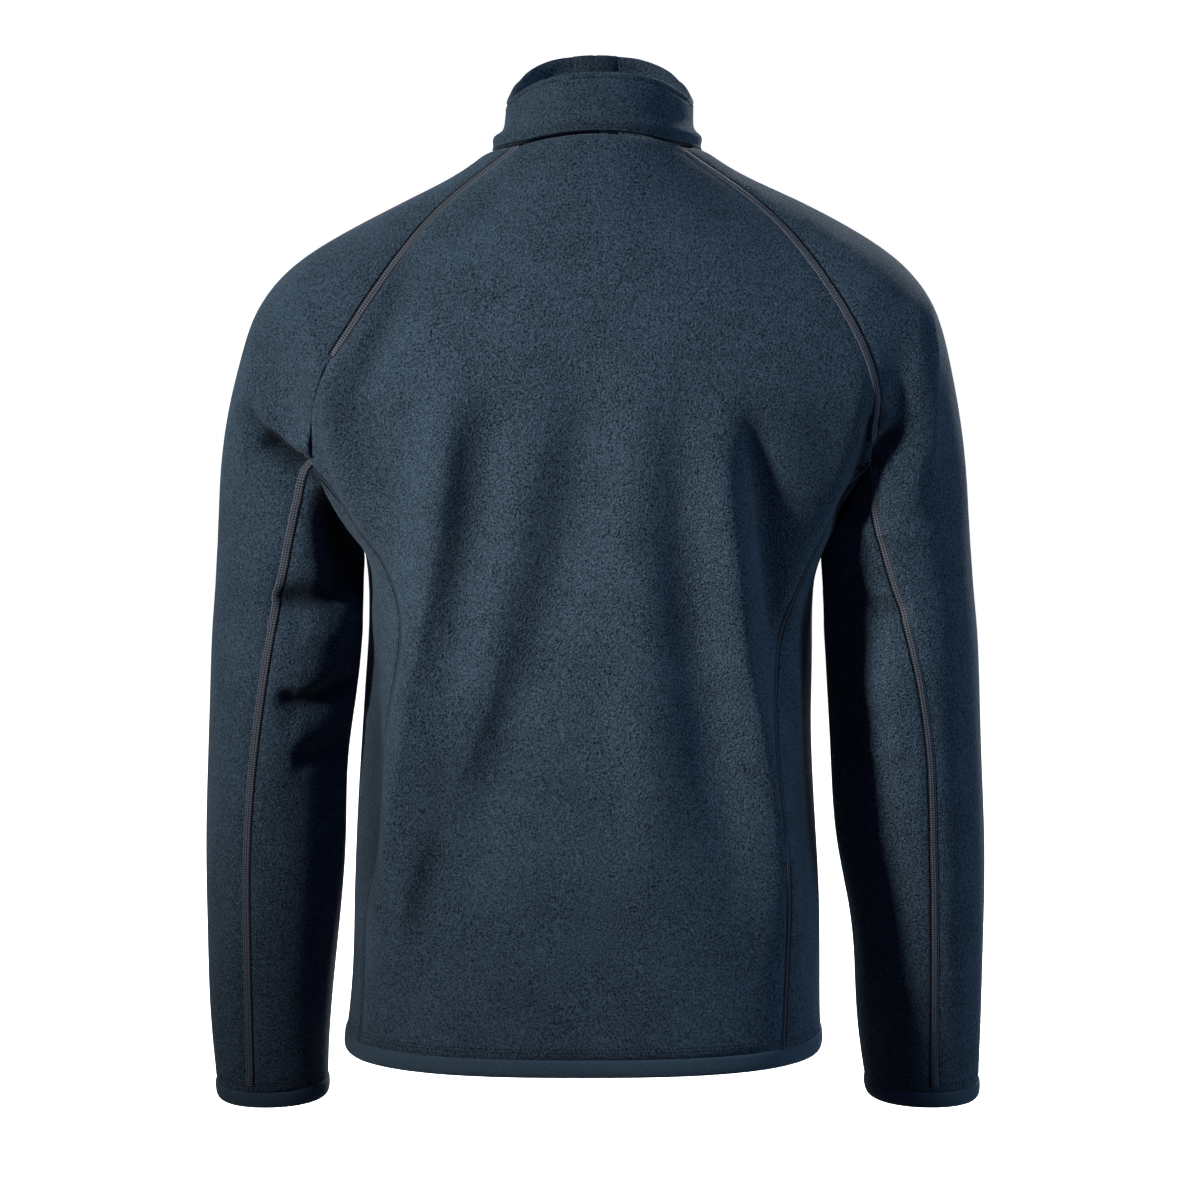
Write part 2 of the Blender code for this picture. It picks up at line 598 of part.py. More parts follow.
# ---- collar -----------------------------------------------------------------------------------
def collar_ring_point(t, side, angle):
    """A point of one of the collar's rings. The angle runs from the back round to the front."""
    s = Section(COLLAR, t)
    facing = cos(angle)
    across, along = oval(angle, 1, 1, COLLAR_POWER)
    end_y, end_z = (s.back_y, s.back_z) if facing > 0 else (s.front_y, s.front_z)
    lift = (facing**2 + COLLAR_SADDLE**2) ** 0.5 - COLLAR_SADDLE
    lift /= (1 + COLLAR_SADDLE**2) ** 0.5 - COLLAR_SADDLE
    return np.array([
        side * s.side_x * across + s.sway * (1 if facing > 0 else across),
        s.side_y + (end_y - s.side_y) * abs(along),
        s.side_z + (end_z - s.side_z) * lift,
    ])


def collar_angle(point, side):
    """The angle at which the collar's ring passes a point of the neck seam."""
    s = Section(COLLAR, 0)
    across = max(side * (point[0] - s.sway) / s.side_x, 0) ** (COLLAR_POWER / 2)
    end_y = s.back_y if point[1] > s.side_y else s.front_y
    along = abs((point[1] - s.side_y) / (end_y - s.side_y)) ** (COLLAR_POWER / 2)
    angle = np.arctan2(across, along)
    return angle if point[1] > s.side_y else pi - angle


def make_collar(skin, collection):
    """The stand collar, on every second point of the neck seam. Returns its front edges."""
    bm = bmesh.new()
    piece_faces, edges = [], {}
    shared = None
    for side in (LEFT, RIGHT):
        neck = [np.array(v.co) for v in skin.neck[side][::2]]
        angles = [collar_angle(p, side) for p in neck]
        away = [p - collar_ring_point(0, side, a) for p, a in zip(neck, angles)]
        rows = []
        for k in range(COLLAR_ROWS + 1):
            t = k / COLLAR_ROWS
            row = []
            for c, angle in enumerate(angles):
                place = collar_ring_point(t, side, angle) + away[c] * (1 - ease(t / 0.8))
                if c == len(angles) - 1:
                    place[0] = side * ZIP_HALF
                if c == 0 and shared:
                    row.append(shared[k])
                else:
                    row.append(bm.verts.new(place))
            rows.append(row)
        shared = shared or [row[0] for row in rows]
        for lower, upper in zip(rows, rows[1:]):
            for c in range(len(angles) - 1):
                corners = [lower[c], lower[c + 1], upper[c + 1], upper[c]]
                if side == LEFT:
                    corners.reverse()
                piece_faces.append(bm.faces.new(corners))
        edges[side] = [row[-1] for row in rows], [row[-2] for row in rows]
    bm.verts.index_update()
    bm.normal_update()
    front = {
        side: [front_place(v, w, COLLAR_WALL) for v, w in zip(*pair)]
        for side, pair in edges.items()
    }
    solid = walled(piece_faces, COLLAR_WALL)
    bm.free()
    finish(solid, "collar", cloth_material("collar_fleece", NAVY), collection)
    return front


# ---- bindings ---------------------------------------------------------------------------------
def binding_section():
    """A binding's outline, as steps out from the cloth's face and down from its raw edge."""
    outer, inner = BAND_PROUD, -WALL - BAND_PROUD
    middle = -WALL / 2
    return [
        (outer - 0.0009, SEAM_GAP),
        (outer, 0.26 * BAND_HEIGHT),
        (outer, 0.66 * BAND_HEIGHT),
        (mix(outer, middle, 0.38), 0.93 * BAND_HEIGHT),
        (mix(inner, middle, 0.62), BAND_HEIGHT),
        (mix(inner, middle, 0.12), 0.84 * BAND_HEIGHT),
        (inner, 0.36 * BAND_HEIGHT),
        (inner + 0.0009, SEAM_GAP),
    ]


def make_binding(name, edge, closed, collection):
    """A folded strip along a raw edge, given as (point, outward, downward) for each place."""
    bm = bmesh.new()
    rings = []
    for point, outward, downward in edge:
        rings.append([bm.verts.new(point + outward * o + downward * d) for o, d in binding_section()])
    pairs = list(zip(rings, rings[1:] + rings[:1])) if closed else list(zip(rings, rings[1:]))
    for ring, following in pairs:
        for i in range(len(ring)):
            j = (i + 1) % len(ring)
            bm.faces.new([ring[i], following[i], following[j], ring[j]])
    if not closed:
        bm.faces.new(rings[0])
        bm.faces.new(list(reversed(rings[-1])))
    bmesh.ops.recalc_face_normals(bm, faces=bm.faces)
    return finish(bm, name, cloth_material(name + "_binding", BINDING_NAVY), collection)


def edge_frames(row, row_above):
    """Each point of a raw edge with the directions out of the cloth and down past the edge."""
    frames = []
    for v, above in zip(row, row_above):
        downward = (v.co - above.co).normalized()
        outward = (v.normal - downward * v.normal.dot(downward)).normalized()
        frames.append((v.co.copy(), outward, downward))
    return frames


def make_bindings(skin, collection):
    """The hem's strip, open at the front, and a closed strip round each cuff."""
    left = edge_frames(skin.hem[LEFT], skin.above_hem[LEFT])
    right = edge_frames(skin.hem[RIGHT], skin.above_hem[RIGHT])
    make_binding("hem_band", left[::-1] + right[1:], False, collection)
    for side in (LEFT, RIGHT):
        frames = edge_frames(skin.cuff[side], skin.above_cuff[side])
        make_binding("cuff_" + SIDE_NAME[side], frames, True, collection)


# ---- zip --------------------------------------------------------------------------------------
def front_place(edge, beside, wall):
    """Where the tape's face lies behind a front edge's point, its way outwards, and the normal."""
    depth = wall + TAPE_CLEAR
    face = edge.co - edge.normal * depth
    away = (beside.co - beside.normal * depth - face).normalized()
    return face, away, edge.normal.copy()


def tape_line(skin, collar_front, side):
    """The places down a front edge, from the collar's top to the hem."""
    line = list(reversed(collar_front[side]))
    for edge, beside in zip(skin.front_edge[side][1:], skin.front_next[side][1:]):
        line.append(front_place(edge, beside, WALL))
    return line


def make_tape(skin, collar_front, side, collection):
    """A zip tape behind a front edge, from the collar's top to the hem binding."""
    bm = bmesh.new()
    rings = []
    for face, away, normal in tape_line(skin, collar_front, side):
        steps = (TAPE_INNER - ZIP_HALF, 0, TAPE_OUTER - ZIP_HALF)
        front = [face + away * step for step in steps]
        back = [p - normal * TAPE_THICKNESS for p in reversed(front)]
        for p in (front[0], back[-1]):
            p.x = side * TAPE_INNER
        rings.append([bm.verts.new(p) for p in front + back])
    for ring, following in zip(rings, rings[1:]):
        for i in range(len(ring)):
            j = (i + 1) % len(ring)
            bm.faces.new([ring[i], following[i], following[j], ring[j]])
    bm.faces.new(rings[0])
    bm.faces.new(list(reversed(rings[-1])))
    bmesh.ops.recalc_face_normals(bm, faces=bm.faces)
    name = "zip_tape_" + SIDE_NAME[side]
    finish(bm, name, cloth_material(name + "_weave", TAPE_NAVY, 0.8), collection)


def block(name, size, centre, bevel=0.0003):
    """A box with rounded edges, as a loose object."""
    bpy.ops.mesh.primitive_cube_add(size=1, location=(0, 0, 0))
    obj = bpy.context.object
    obj.name = name
    obj.data.transform(Matrix.Translation(centre) @ Matrix.Diagonal((*size, 1)))
    rounding = obj.modifiers.new("rounded edges", "BEVEL")
    rounding.width = bevel
    rounding.segments = 1
    return obj


def settle(obj):
    """Makes an object's modifiers part of its mesh."""
    graph = bpy.context.evaluated_depsgraph_get()
    mesh = bpy.data.meshes.new_from_object(obj.evaluated_get(graph))
    obj.modifiers.clear()
    obj.data = mesh
    return obj


def combine(base, other, operation):
    """Adds another solid to a base solid, or cuts it away, and removes it."""
    change = base.modifiers.new("combine", "BOOLEAN")
    change.operation = operation
    change.object = other
    settle(base)
    bpy.data.objects.remove(other, do_unlink=True)
    return base


def hard_part(obj, name, material, collection):
    """Names a hard part, gives it its material and moves it to the jacket's collection."""
    obj.name = obj.data.name = name
    obj.data.materials.clear()
    obj.data.materials.append(material)
    obj.data.shade_smooth()
    obj.data.set_sharp_from_angle(angle=radians(35))
    for home in list(obj.users_collection):
        home.objects.unlink(obj)
    collection.objects.link(obj)
    return obj


def metal_material(name):
    material = cloth_material(name, GUNMETAL, 0.35)
    material.node_tree.nodes["Principled BSDF"].inputs["Metallic"].default_value = 1
    return material


def make_slider(frame, collection):
    """Two plates on a post between the tapes, with a ring on the front plate for the pull."""
    plate = (SLIDER_WIDTH, SLIDER_LENGTH)
    top = settle(block("plate", (*plate, SLIDER_PLATE), (0, 0, SLIDER_PLATE_OUT)))
    inner = settle(block("inner", (*plate, SLIDER_INNER_PLATE), (0, 0, -SLIDER_INNER_IN)))
    post_middle = (SLIDER_PLATE_OUT - SLIDER_INNER_IN) / 2
    post = settle(block("post", SLIDER_POST, (0, SLIDER_POST_UP, post_middle), 0.0002))
    combine(top, post, "UNION")
    combine(top, inner, "UNION")
    bpy.ops.mesh.primitive_torus_add(
        major_radius=RING_RADIUS,
        minor_radius=RING_WIRE,
        major_segments=16,
        minor_segments=8,
        location=(0, 0, 0),
    )
    ring = bpy.context.object
    turn = Matrix.Rotation(radians(90), 4, "Y")
    ring.data.transform(Matrix.Translation((0, 0, PULL_AXIS_OUT)) @ turn)
    combine(top, ring, "UNION")
    top.data.transform(frame)
    return hard_part(top, "zip_slider", metal_material("slider_metal"), collection)


def make_pull(axis, collection):
    """The pull tab, hanging straight down from its bar, with its origin on the hinge axis."""
    size = (PULL_WIDTH, PULL_THICKNESS, PULL_LENGTH)
    tab = settle(block("tab", size, (0, 0, (PULL_BAR - PULL_LENGTH) / 2), 0.0004))
    width, height = PULL_WINDOW
    window = block("window", (width, 5 * PULL_THICKNESS, height), (0, 0, -(PULL_BAR + height) / 2))
    combine(tab, settle(window), "DIFFERENCE")
    tab.location = axis
    return hard_part(tab, "zip_pull", metal_material("pull_metal"), collection)


def make_zip_box(skin, collection):
    """The box that the zip's two tapes meet in, between the hem binding's ends."""
    edge = skin.front_edge[LEFT][-1].co
    tape_middle = edge.y + WALL + TAPE_CLEAR + TAPE_THICKNESS / 2
    centre = (0, tape_middle, HEM_Z + ZIP_BOX_UP + ZIP_BOX[2] / 2)
    box = settle(block("box", ZIP_BOX, centre, 0.0005))
    hard_part(box, "zip_box", metal_material("box_metal"), collection)


def make_guard(skin, collar_front, collection):
    """The strip of fleece behind the zip, from the collar's top down behind the hem binding."""
    bm = bmesh.new()
    rings = []
    lines = [tape_line(skin, collar_front, side) for side in (LEFT, RIGHT)]
    for line in lines:
        face, *rest = line[-1]
        line.append((face - Vector((0, 0, BAND_HEIGHT - GUARD_WALL)), *rest))
    for pair in zip(*lines):
        face = []
        for side, (tape_face, away, normal) in zip((LEFT, RIGHT), pair):
            edge = tape_face - normal * (TAPE_THICKNESS + GUARD_CLEAR)
            steps = [edge + away * (GUARD_HALF - ZIP_HALF), edge]
            face += steps if side == LEFT else steps[::-1]
        inward = -(pair[0][2] + pair[1][2]).normalized() * GUARD_WALL
        rings.append([bm.verts.new(p) for p in face + [p + inward for p in face[::-1]]])
    for ring, following in zip(rings, rings[1:]):
        for i in range(len(ring)):
            j = (i + 1) % len(ring)
            bm.faces.new([ring[i], following[i], following[j], ring[j]])
    bm.faces.new(rings[0])
    bm.faces.new(list(reversed(rings[-1])))
    bmesh.ops.recalc_face_normals(bm, faces=bm.faces)
    finish(bm, "zip_guard", cloth_material("guard_fleece", NAVY), collection)


def make_zip(skin, collar_front, collection):
    for side in (LEFT, RIGHT):
        make_tape(skin, collar_front, side, collection)
    make_guard(skin, collar_front, collection)
    places = [collar_front[LEFT][k] for k in (COLLAR_ROWS - 1, COLLAR_ROWS - 2)]
    upper, lower = (Vector((0, face.y, face.z)) for face, *_ in places)
    along = (upper - lower).normalized()
    outward = Vector((0, -along.z, along.y))
    centre = mix(lower, upper, SLIDER_PLACE)
    frame = Matrix((
        (1, 0, 0, 0),
        (0, along.y, outward.y, centre.y),
        (0, along.z, outward.z, centre.z),
        (0, 0, 0, 1),
    ))
    make_slider(frame, collection)
    make_pull(frame @ Vector((0, 0, PULL_AXIS_OUT)), collection)
    make_zip_box(skin, collection)


def main():
    for obj in list(bpy.data.objects):
        bpy.data.objects.remove(obj, do_unlink=True)
    collection = bpy.data.collections.new("Fleece zip jacket")
    bpy.context.scene.collection.children.link(collection)
    skin = Skin()
    skin.soften()
    skin.press_folds()
    make_panels(skin, collection)
    make_bindings(skin, collection)
    make_zip(skin, make_collar(skin, collection), collection)
    skin.mesh.free()


main()
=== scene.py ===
"""The looks of a fleece zip jacket, filled out as if worn, with nothing inside.

Metres, +Z up. The front faces -Y and the wearer's left is +X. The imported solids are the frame:
each cloth piece here is a finer shell on its solid's form, with its creases, seams and stitches.
"""

from math import atan2, cos, pi, radians, sin

import bmesh
import bpy
import numpy as np
from mathutils import Matrix, Vector
from mathutils.bvhtree import BVHTree
from mathutils.kdtree import KDTree


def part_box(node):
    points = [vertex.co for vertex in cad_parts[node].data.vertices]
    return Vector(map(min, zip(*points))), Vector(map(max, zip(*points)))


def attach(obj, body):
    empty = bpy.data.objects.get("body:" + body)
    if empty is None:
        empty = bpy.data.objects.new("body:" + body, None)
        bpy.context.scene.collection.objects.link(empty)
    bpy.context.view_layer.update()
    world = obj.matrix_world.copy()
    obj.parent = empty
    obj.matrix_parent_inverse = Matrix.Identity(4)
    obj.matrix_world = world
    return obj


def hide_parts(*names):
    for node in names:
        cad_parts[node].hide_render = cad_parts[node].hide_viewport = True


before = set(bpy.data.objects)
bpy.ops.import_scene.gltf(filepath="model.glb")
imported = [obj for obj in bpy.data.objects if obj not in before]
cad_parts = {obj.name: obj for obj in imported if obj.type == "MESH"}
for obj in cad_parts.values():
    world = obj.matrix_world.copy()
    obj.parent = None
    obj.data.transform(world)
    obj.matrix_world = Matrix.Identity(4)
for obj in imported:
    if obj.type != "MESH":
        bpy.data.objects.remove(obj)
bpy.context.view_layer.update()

# ---- the studio -------------------------------------------------------------------------------
# The jacket floats at shoulder height over a wide white floor, and is looked at from behind, a
# little above its middle, through a long lens. The key stands well to the left, behind a grid that
# keeps it off the near sleeve, and a weak box far to the right reaches only the other sleeve.
METRES_A_PIXEL = 0.000765
PIXELS = 1200
SENSOR = 36
CAMERA_AWAY = 5.2
CAMERA_ABOVE = radians(9)
CAMERA_SIGHT = 50
AIM = Vector((-5 * METRES_A_PIXEL, 0, -0.348))

camera_data = bpy.data.cameras.new("camera")
camera_data.sensor_width = SENSOR
camera_data.lens = SENSOR * CAMERA_AWAY / METRES_A_PIXEL / PIXELS
camera_data.clip_end = CAMERA_SIGHT
camera = bpy.data.objects.new("camera", camera_data)
to_camera = Vector((0, cos(CAMERA_ABOVE), sin(CAMERA_ABOVE)))
camera.location = AIM + to_camera * CAMERA_AWAY
camera.rotation_euler = (-to_camera).to_track_quat("-Z", "Y").to_euler()
bpy.context.scene.collection.objects.link(camera)
bpy.context.scene.camera = camera
bpy.context.scene.view_settings.view_transform = "Standard"


def linear(hex_colour):
    """An sRGB hex colour as the linear values that a shader takes."""
    channels = [int(hex_colour[i : i + 2], 16) / 255 for i in (1, 3, 5)]
    light = [c / 12.92 if c <= 0.04045 else ((c + 0.055) / 1.055) ** 2.4 for c in channels]
    return (*light, 1)


def new_material(name):
    """A material with its shader, as (material, node tree, shader)."""
    material = bpy.data.materials.new(name)
    material.use_nodes = True
    return material, material.node_tree, material.node_tree.nodes["Principled BSDF"]


def add_node(tree, kind, inputs=None, **settings):
    """Adds a node. An input goes by name or number, and is a value or the socket it comes from."""
    node = tree.nodes.new("ShaderNode" + kind)
    for name, value in settings.items():
        setattr(node, name, value)
    for name, value in (inputs or {}).items():
        if isinstance(value, bpy.types.NodeSocket):
            tree.links.new(value, node.inputs[name])
        else:
            node.inputs[name].default_value = value
    return node


FLOOR_Z = -1.45
FLOOR_HALF = 40
FLOOR_GLOW = 0.85

bm = bmesh.new()
bmesh.ops.create_grid(bm, x_segments=2, y_segments=2, size=FLOOR_HALF)
bmesh.ops.translate(bm, verts=bm.verts, vec=(0, 0, FLOOR_Z))
floor_mesh = bpy.data.meshes.new("floor")
bm.to_mesh(floor_mesh)
bm.free()
floor = bpy.data.objects.new("floor", floor_mesh)
floor.visible_diffuse = False  # its light does not reach the jacket
bpy.context.scene.collection.objects.link(floor)
paint, tree, shader = new_material("lit_white_acrylic")
shader.inputs["Base Color"].default_value = linear("#f7f7f7")
shader.inputs["Emission Color"].default_value = linear("#ffffff")
shader.inputs["Emission Strength"].default_value = FLOOR_GLOW
floor_mesh.materials.append(paint)

world = bpy.data.worlds.new("white_paper")
world.use_nodes = True
world.node_tree.nodes["Background"].inputs["Color"].default_value = linear("#ffffff")
bpy.context.scene.world = world
world.cycles_visibility.diffuse = False

WARM, COOL, BLUE = "#fffaf2", "#c6e6ff", "#7f9fff"
CENTRE = (AIM.x, AIM.z)
SOFT_BOXES = {  # place, the (x, z) it is aimed at, width, spread in degrees, power in watts, colour
    "key": ((3.7, 2.8, 1.5), (-0.28, -0.38), 0.6, 15, 5.1, WARM),
    "far_side": ((-4.6, 0.8, 0.5), CENTRE, 1.4, 180, 125, COOL),
    "sky": ((-0.8, 4.2, 2.6), CENTRE, 1.6, 180, 28, BLUE),
    "front_key": ((-2.0, -4.2, 1.7), CENTRE, 1.0, 180, 500, WARM),
    "front_far_side": ((2.2, -4.1, 0.9), CENTRE, 1.4, 180, 110, COOL),
}
for name, (place, (aim_x, aim_z), width, spread, power, colour) in SOFT_BOXES.items():
    lamp_data = bpy.data.lights.new(name, "AREA")
    lamp_data.size = width
    lamp_data.spread = radians(spread)
    lamp_data.energy = power
    lamp_data.color = linear(colour)[:3]
    lamp = bpy.data.objects.new(name, lamp_data)
    lamp.location = place
    way = Vector((aim_x, AIM.y, aim_z)) - lamp.location
    lamp.rotation_euler = way.to_track_quat("-Z", "Y").to_euler()
    bpy.context.scene.collection.objects.link(lamp)

# ---- fleece panels ----------------------------------------------------------------------------
# Back, two fronts and two raglan sleeves, of polyester microfleece: a fine knit, brushed on both
# faces and sheared to a short matt nap. Each is a 2.5 mm wall cut to shape and sewn to the next.
PANELS = ("back", "front_left", "front_right", "sleeve_left", "sleeve_right")
CLOTH = PANELS + ("collar", "zip_guard", "hem_band", "cuff_left", "cuff_right")
CLOTH += ("zip_tape_left", "zip_tape_right")
BINDINGS = ("hem_band", "cuff_left", "cuff_right")
WALLS = dict.fromkeys(CLOTH, 0.0025) | dict.fromkeys(BINDINGS)
WALLS |= {"collar": 0.0042, "zip_guard": 0.0022, "zip_tape_left": 0.0008, "zip_tape_right": 0.0008}
LEVELS = dict.fromkeys(CLOTH, 2) | {"sleeve_left": 3, "sleeve_right": 3, "collar": 3}
OUTSIDE, INSIDE, RIM = 0, 1, 2
WALL_SLACK = 0.0001
WELD = 0.00001
PAIR_BEND, PAIR_SKEW = radians(50), radians(75)
STRIP_EDGE, RIM_CORNER = radians(80), radians(30)
FACES_UP = 0.6


def layers_of(bm, wall):
    """Marks each face of a wall as outside, inside or rim, in its material index. A rim's faces
    are those that step from one side of the wall to the other."""
    steps = {edge for edge in bm.edges if abs(edge.calc_length() - wall) < WALL_SLACK}
    for face in bm.faces:
        face.material_index = RIM if steps.intersection(face.edges) else OUTSIDE
    left = {face for face in bm.faces if face.material_index != RIM}
    sides = []
    while left:
        side, waiting = set(), [left.pop()]
        while waiting:
            face = waiting.pop()
            side.add(face)
            for edge in face.edges:
                for other in edge.link_faces:
                    if other in left:
                        left.remove(other)
                        waiting.append(other)
        sides.append(side)
    sides.sort(key=lambda side: sum(face.calc_area() for face in side))
    for face in sides[0]:
        face.material_index = INSIDE


def cage(node, wall):
    """A solid's form in four-sided faces, with its rims marked to stay crisp. A folded edge on top
    and a solid strip without a wall stay round."""
    bm = bmesh.new()
    bm.from_mesh(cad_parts[node].data)
    bmesh.ops.remove_doubles(bm, verts=bm.verts, dist=WELD)
    bmesh.ops.join_triangles(
        bm, faces=bm.faces, angle_face_threshold=PAIR_BEND, angle_shape_threshold=PAIR_SKEW
    )
    bm.normal_update()
    crease = bm.edges.layers.float.new("crease_edge")
    if wall is None:
        for edge in bm.edges:
            edge[crease] = 1 if edge.calc_face_angle() > STRIP_EDGE else 0
        return bm
    layers_of(bm, wall)
    for edge in bm.edges:
        kinds = [face.material_index for face in edge.link_faces]
        folded = any(k == RIM and f.normal.z > FACES_UP for k, f in zip(kinds, edge.link_faces))
        corner = kinds == [RIM, RIM] and edge.calc_face_angle() > RIM_CORNER
        if corner or (kinds.count(RIM) == 1 and not folded):
            edge[crease] = 1
    return bm


def subdivided(bm, levels, name):
    """The smooth surface of a cage, as a mesh."""
    mesh = bpy.data.meshes.new(name)
    bm.to_mesh(mesh)
    bm.free()
    for _ in (OUTSIDE, INSIDE, RIM):
        mesh.materials.append(None)
    holder = bpy.data.objects.new(name, mesh)
    bpy.context.scene.collection.objects.link(holder)
    smooth = holder.modifiers.new("smooth", "SUBSURF")
    smooth.levels = smooth.render_levels = levels
    graph = bpy.context.evaluated_depsgraph_get()
    fine = bpy.data.meshes.new_from_object(holder.evaluated_get(graph))
    bpy.data.objects.remove(holder)
    bpy.data.meshes.remove(mesh)
    fine.name = name
    return fine


def layer_normals(mesh, layer):
    """Each point's normal from one layer's faces alone, and which points are on that layer."""
    points = np.empty(len(mesh.vertices) * 3)
    mesh.vertices.foreach_get("co", points)
    points = points.reshape(-1, 3)
    normals = np.zeros_like(points)
    for polygon in mesh.polygons:
        if polygon.material_index == layer:
            normals[list(polygon.vertices)] += np.array(polygon.normal) * polygon.area
    length = np.linalg.norm(normals, axis=1)
    there = length > 0
    normals[there] /= length[there, None]
    return points, normals, there


def piece(name, mesh, *materials):
    """A finished piece on the jacket's body, with its finish."""
    mesh.name = name
    mesh.materials.clear()
    for material in materials:
        mesh.materials.append(material)
    mesh.shade_smooth()
    made = bpy.data.objects.new(name, mesh)
    bpy.context.scene.collection.objects.link(made)
    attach(made, "jacket")
    return made


# The nap curls into pills under 2 mm across, with darker gaps between them, and the brushing lies
# in patches of about 45 mm that catch the light a little more or less. Where a crease is pressed
# deep, the colour is darkened as painted shade.
PILL, PILL_HIGH = 0.0013, 0.0016
PATCH, PATCH_TONE = 0.045, 0.08


def cloth_material(name, roughness, sheen):
    """A dry, dull material for cloth or thread, whose fibre ends pale it at a grazing angle."""
    material, tree, shader = new_material(name)
    shader.inputs["Roughness"].default_value = roughness
    shader.inputs["Specular IOR Level"].default_value = 0.03
    shader.inputs["Sheen Weight"].default_value = sheen
    shader.inputs["Sheen Roughness"].default_value = 0.5
    shader.inputs["Sheen Tint"].default_value = linear("#9fb0c4")
    return material, tree, shader


def microfleece(name, deep="#09121a", lit="#3a4b5a"):
    """Brushed polyester knit, with the tone of its gaps and of its pills' tops. Deep creases are
    darkened in it as painted shade.
    """
    material, tree, shader = cloth_material(name, 0.95, 0.10)
    place = add_node(tree, "TexCoord").outputs["Object"]
    pills = add_node(
        tree, "TexNoise", {"Vector": place, "Scale": 1 / PILL, "Detail": 1, "Distortion": 0.4}
    )
    patches = add_node(tree, "TexNoise", {"Vector": place, "Scale": 1 / PATCH, "Detail": 2})
    spread = add_node(
        tree, "MapRange", {"Value": pills.outputs["Fac"], "From Min": 0.28, "From Max": 0.70}
    )
    tones = {"From Min": 0.3, "From Max": 0.7, "To Min": -PATCH_TONE, "To Max": PATCH_TONE}
    lay = add_node(tree, "MapRange", {"Value": patches.outputs["Fac"], **tones})
    tone = add_node(
        tree,
        "Math",
        {0: spread.outputs["Result"], 1: lay.outputs["Result"]},
        operation="ADD",
        use_clamp=True,
    )
    pile = add_node(
        tree,
        "Mix",
        {"Factor": tone.outputs["Value"], "A": linear(deep), "B": linear(lit)},
        data_type="RGBA",
    )
    # painted shade: the colour drops to a fifth where a crease is pressed deepest
    painted_crease_shade = add_node(tree, "Attribute", attribute_name="painted_crease_shade")
    closed = add_node(
        tree, "MapRange", {"Value": painted_crease_shade.outputs["Fac"], "To Min": 1, "To Max": 0.2}
    )
    colour = add_node(
        tree,
        "Mix",
        {"Factor": 1, "A": pile.outputs["Result"], "B": closed.outputs["Result"]},
        data_type="RGBA",
        blend_type="MULTIPLY",
    )
    relief = add_node(
        tree, "Bump", {"Height": pills.outputs["Fac"], "Strength": 1.0, "Distance": PILL_HIGH}
    )
    tree.links.new(colour.outputs["Result"], shader.inputs["Base Color"])
    tree.links.new(relief.outputs["Normal"], shader.inputs["Normal"])
    return material


fleece = microfleece("brushed_microfleece")
# A darker copy of the same fleece, painted shade standing in for the shade inside the jacket.
shaded_inner_fleece = microfleece("microfleece_inside_painted_shade", deep="#08121a", lit="#34444f")

shells = {name: subdivided(cage(name, WALLS[name]), LEVELS[name], name) for name in CLOTH}

# ---- creases ----------------------------------------------------------------------------------
# The finer creases that hang from the shoulder blades and gather at the elbows and armpits. Each
# is pressed into both faces of the cloth alike.
SOFT, CRISP = 2.0, 1.2

# A row is its height outwards, its breadth to the left and to the right of its way, how sharp its
# top is, and its points (x, z) in order. Most run down, so that their left is the +X side. The
# first hollow crosses the seam at the right armpit, so it is pressed into back and sleeve alike.
RIGHT_ARMPIT = (
    -0.0090, 0.007, 0.008, SOFT,
    ((-0.213, -0.180), (-0.209, -0.211), (-0.2015, -0.2400), (-0.1925, -0.2625), (-0.178, -0.295)),
)
BACK_CREASES = (
    # the long ridge under the left shoulder blade, with a steep right flank
    (0.0040, 0.014, 0.006, CRISP,
     ((0.104, -0.150), (0.110, -0.219), (0.117, -0.279), (0.126, -0.340), (0.138, -0.400),
      (0.147, -0.456), (0.155, -0.511), (0.164, -0.567), (0.170, -0.650))),
    (-0.0015, 0.008, 0.010, SOFT,
     ((0.090, -0.180), (0.094, -0.240), (0.100, -0.300), (0.113, -0.360))),
    # a lower ridge that leaves the middle of the back for the left hip
    (0.0032, 0.014, 0.010, CRISP,
     ((0.067, -0.340), (0.078, -0.403), (0.104, -0.471), (0.138, -0.539), (0.156, -0.630))),
    # the ridge under the right shoulder blade, with a deep hollow outside it
    (0.0035, 0.014, 0.007, CRISP,
     ((-0.094, -0.170), (-0.098, -0.240), (-0.105, -0.300), (-0.112, -0.370), (-0.127, -0.440),
      (-0.139, -0.500), (-0.150, -0.560), (-0.158, -0.650))),
    (-0.0040, 0.006, 0.010, SOFT,
     ((-0.112, -0.175), (-0.124, -0.252), (-0.131, -0.318), (-0.140, -0.385))),
    (0.0035, 0.006, 0.006, CRISP,
     ((-0.150, -0.370), (-0.155, -0.420), (-0.160, -0.500), (-0.163, -0.600))),
    # the hollows under the arms, down both flanks, and one beside the lower ridge
    (-0.0080, 0.010, 0.011, SOFT,
     ((0.180, -0.340), (0.175, -0.395), (0.172, -0.450), (0.172, -0.510), (0.174, -0.590))),
    (-0.0065, 0.009, 0.010, SOFT,
     ((-0.171, -0.300), (-0.166, -0.350), (-0.164, -0.420), (-0.164, -0.500), (-0.167, -0.590))),
    (-0.0028, 0.012, 0.012, SOFT,
     ((0.108, -0.430), (0.117, -0.490), (0.127, -0.540), (0.137, -0.610))),
    # beside the left raglan seam, across the nape, and the two edges that overhang the armpits
    (-0.0030, 0.008, 0.010, SOFT,
     ((0.136, -0.070), (0.150, -0.100), (0.166, -0.142), (0.178, -0.180))),
    (0.0008, 0.003, 0.003, CRISP, ((0.020, -0.042), (0.000, -0.046), (-0.030, -0.045))),
    (0.0060, 0.007, 0.020, SOFT,
     ((0.190, -0.130), (0.201, -0.170), (0.199, -0.206), (0.189, -0.242), (0.160, -0.310))),
    (0.0020, 0.020, 0.007, SOFT,
     ((-0.190, -0.150), (-0.196, -0.180), (-0.190, -0.215), (-0.178, -0.255), (-0.164, -0.300))),
    RIGHT_ARMPIT,
)
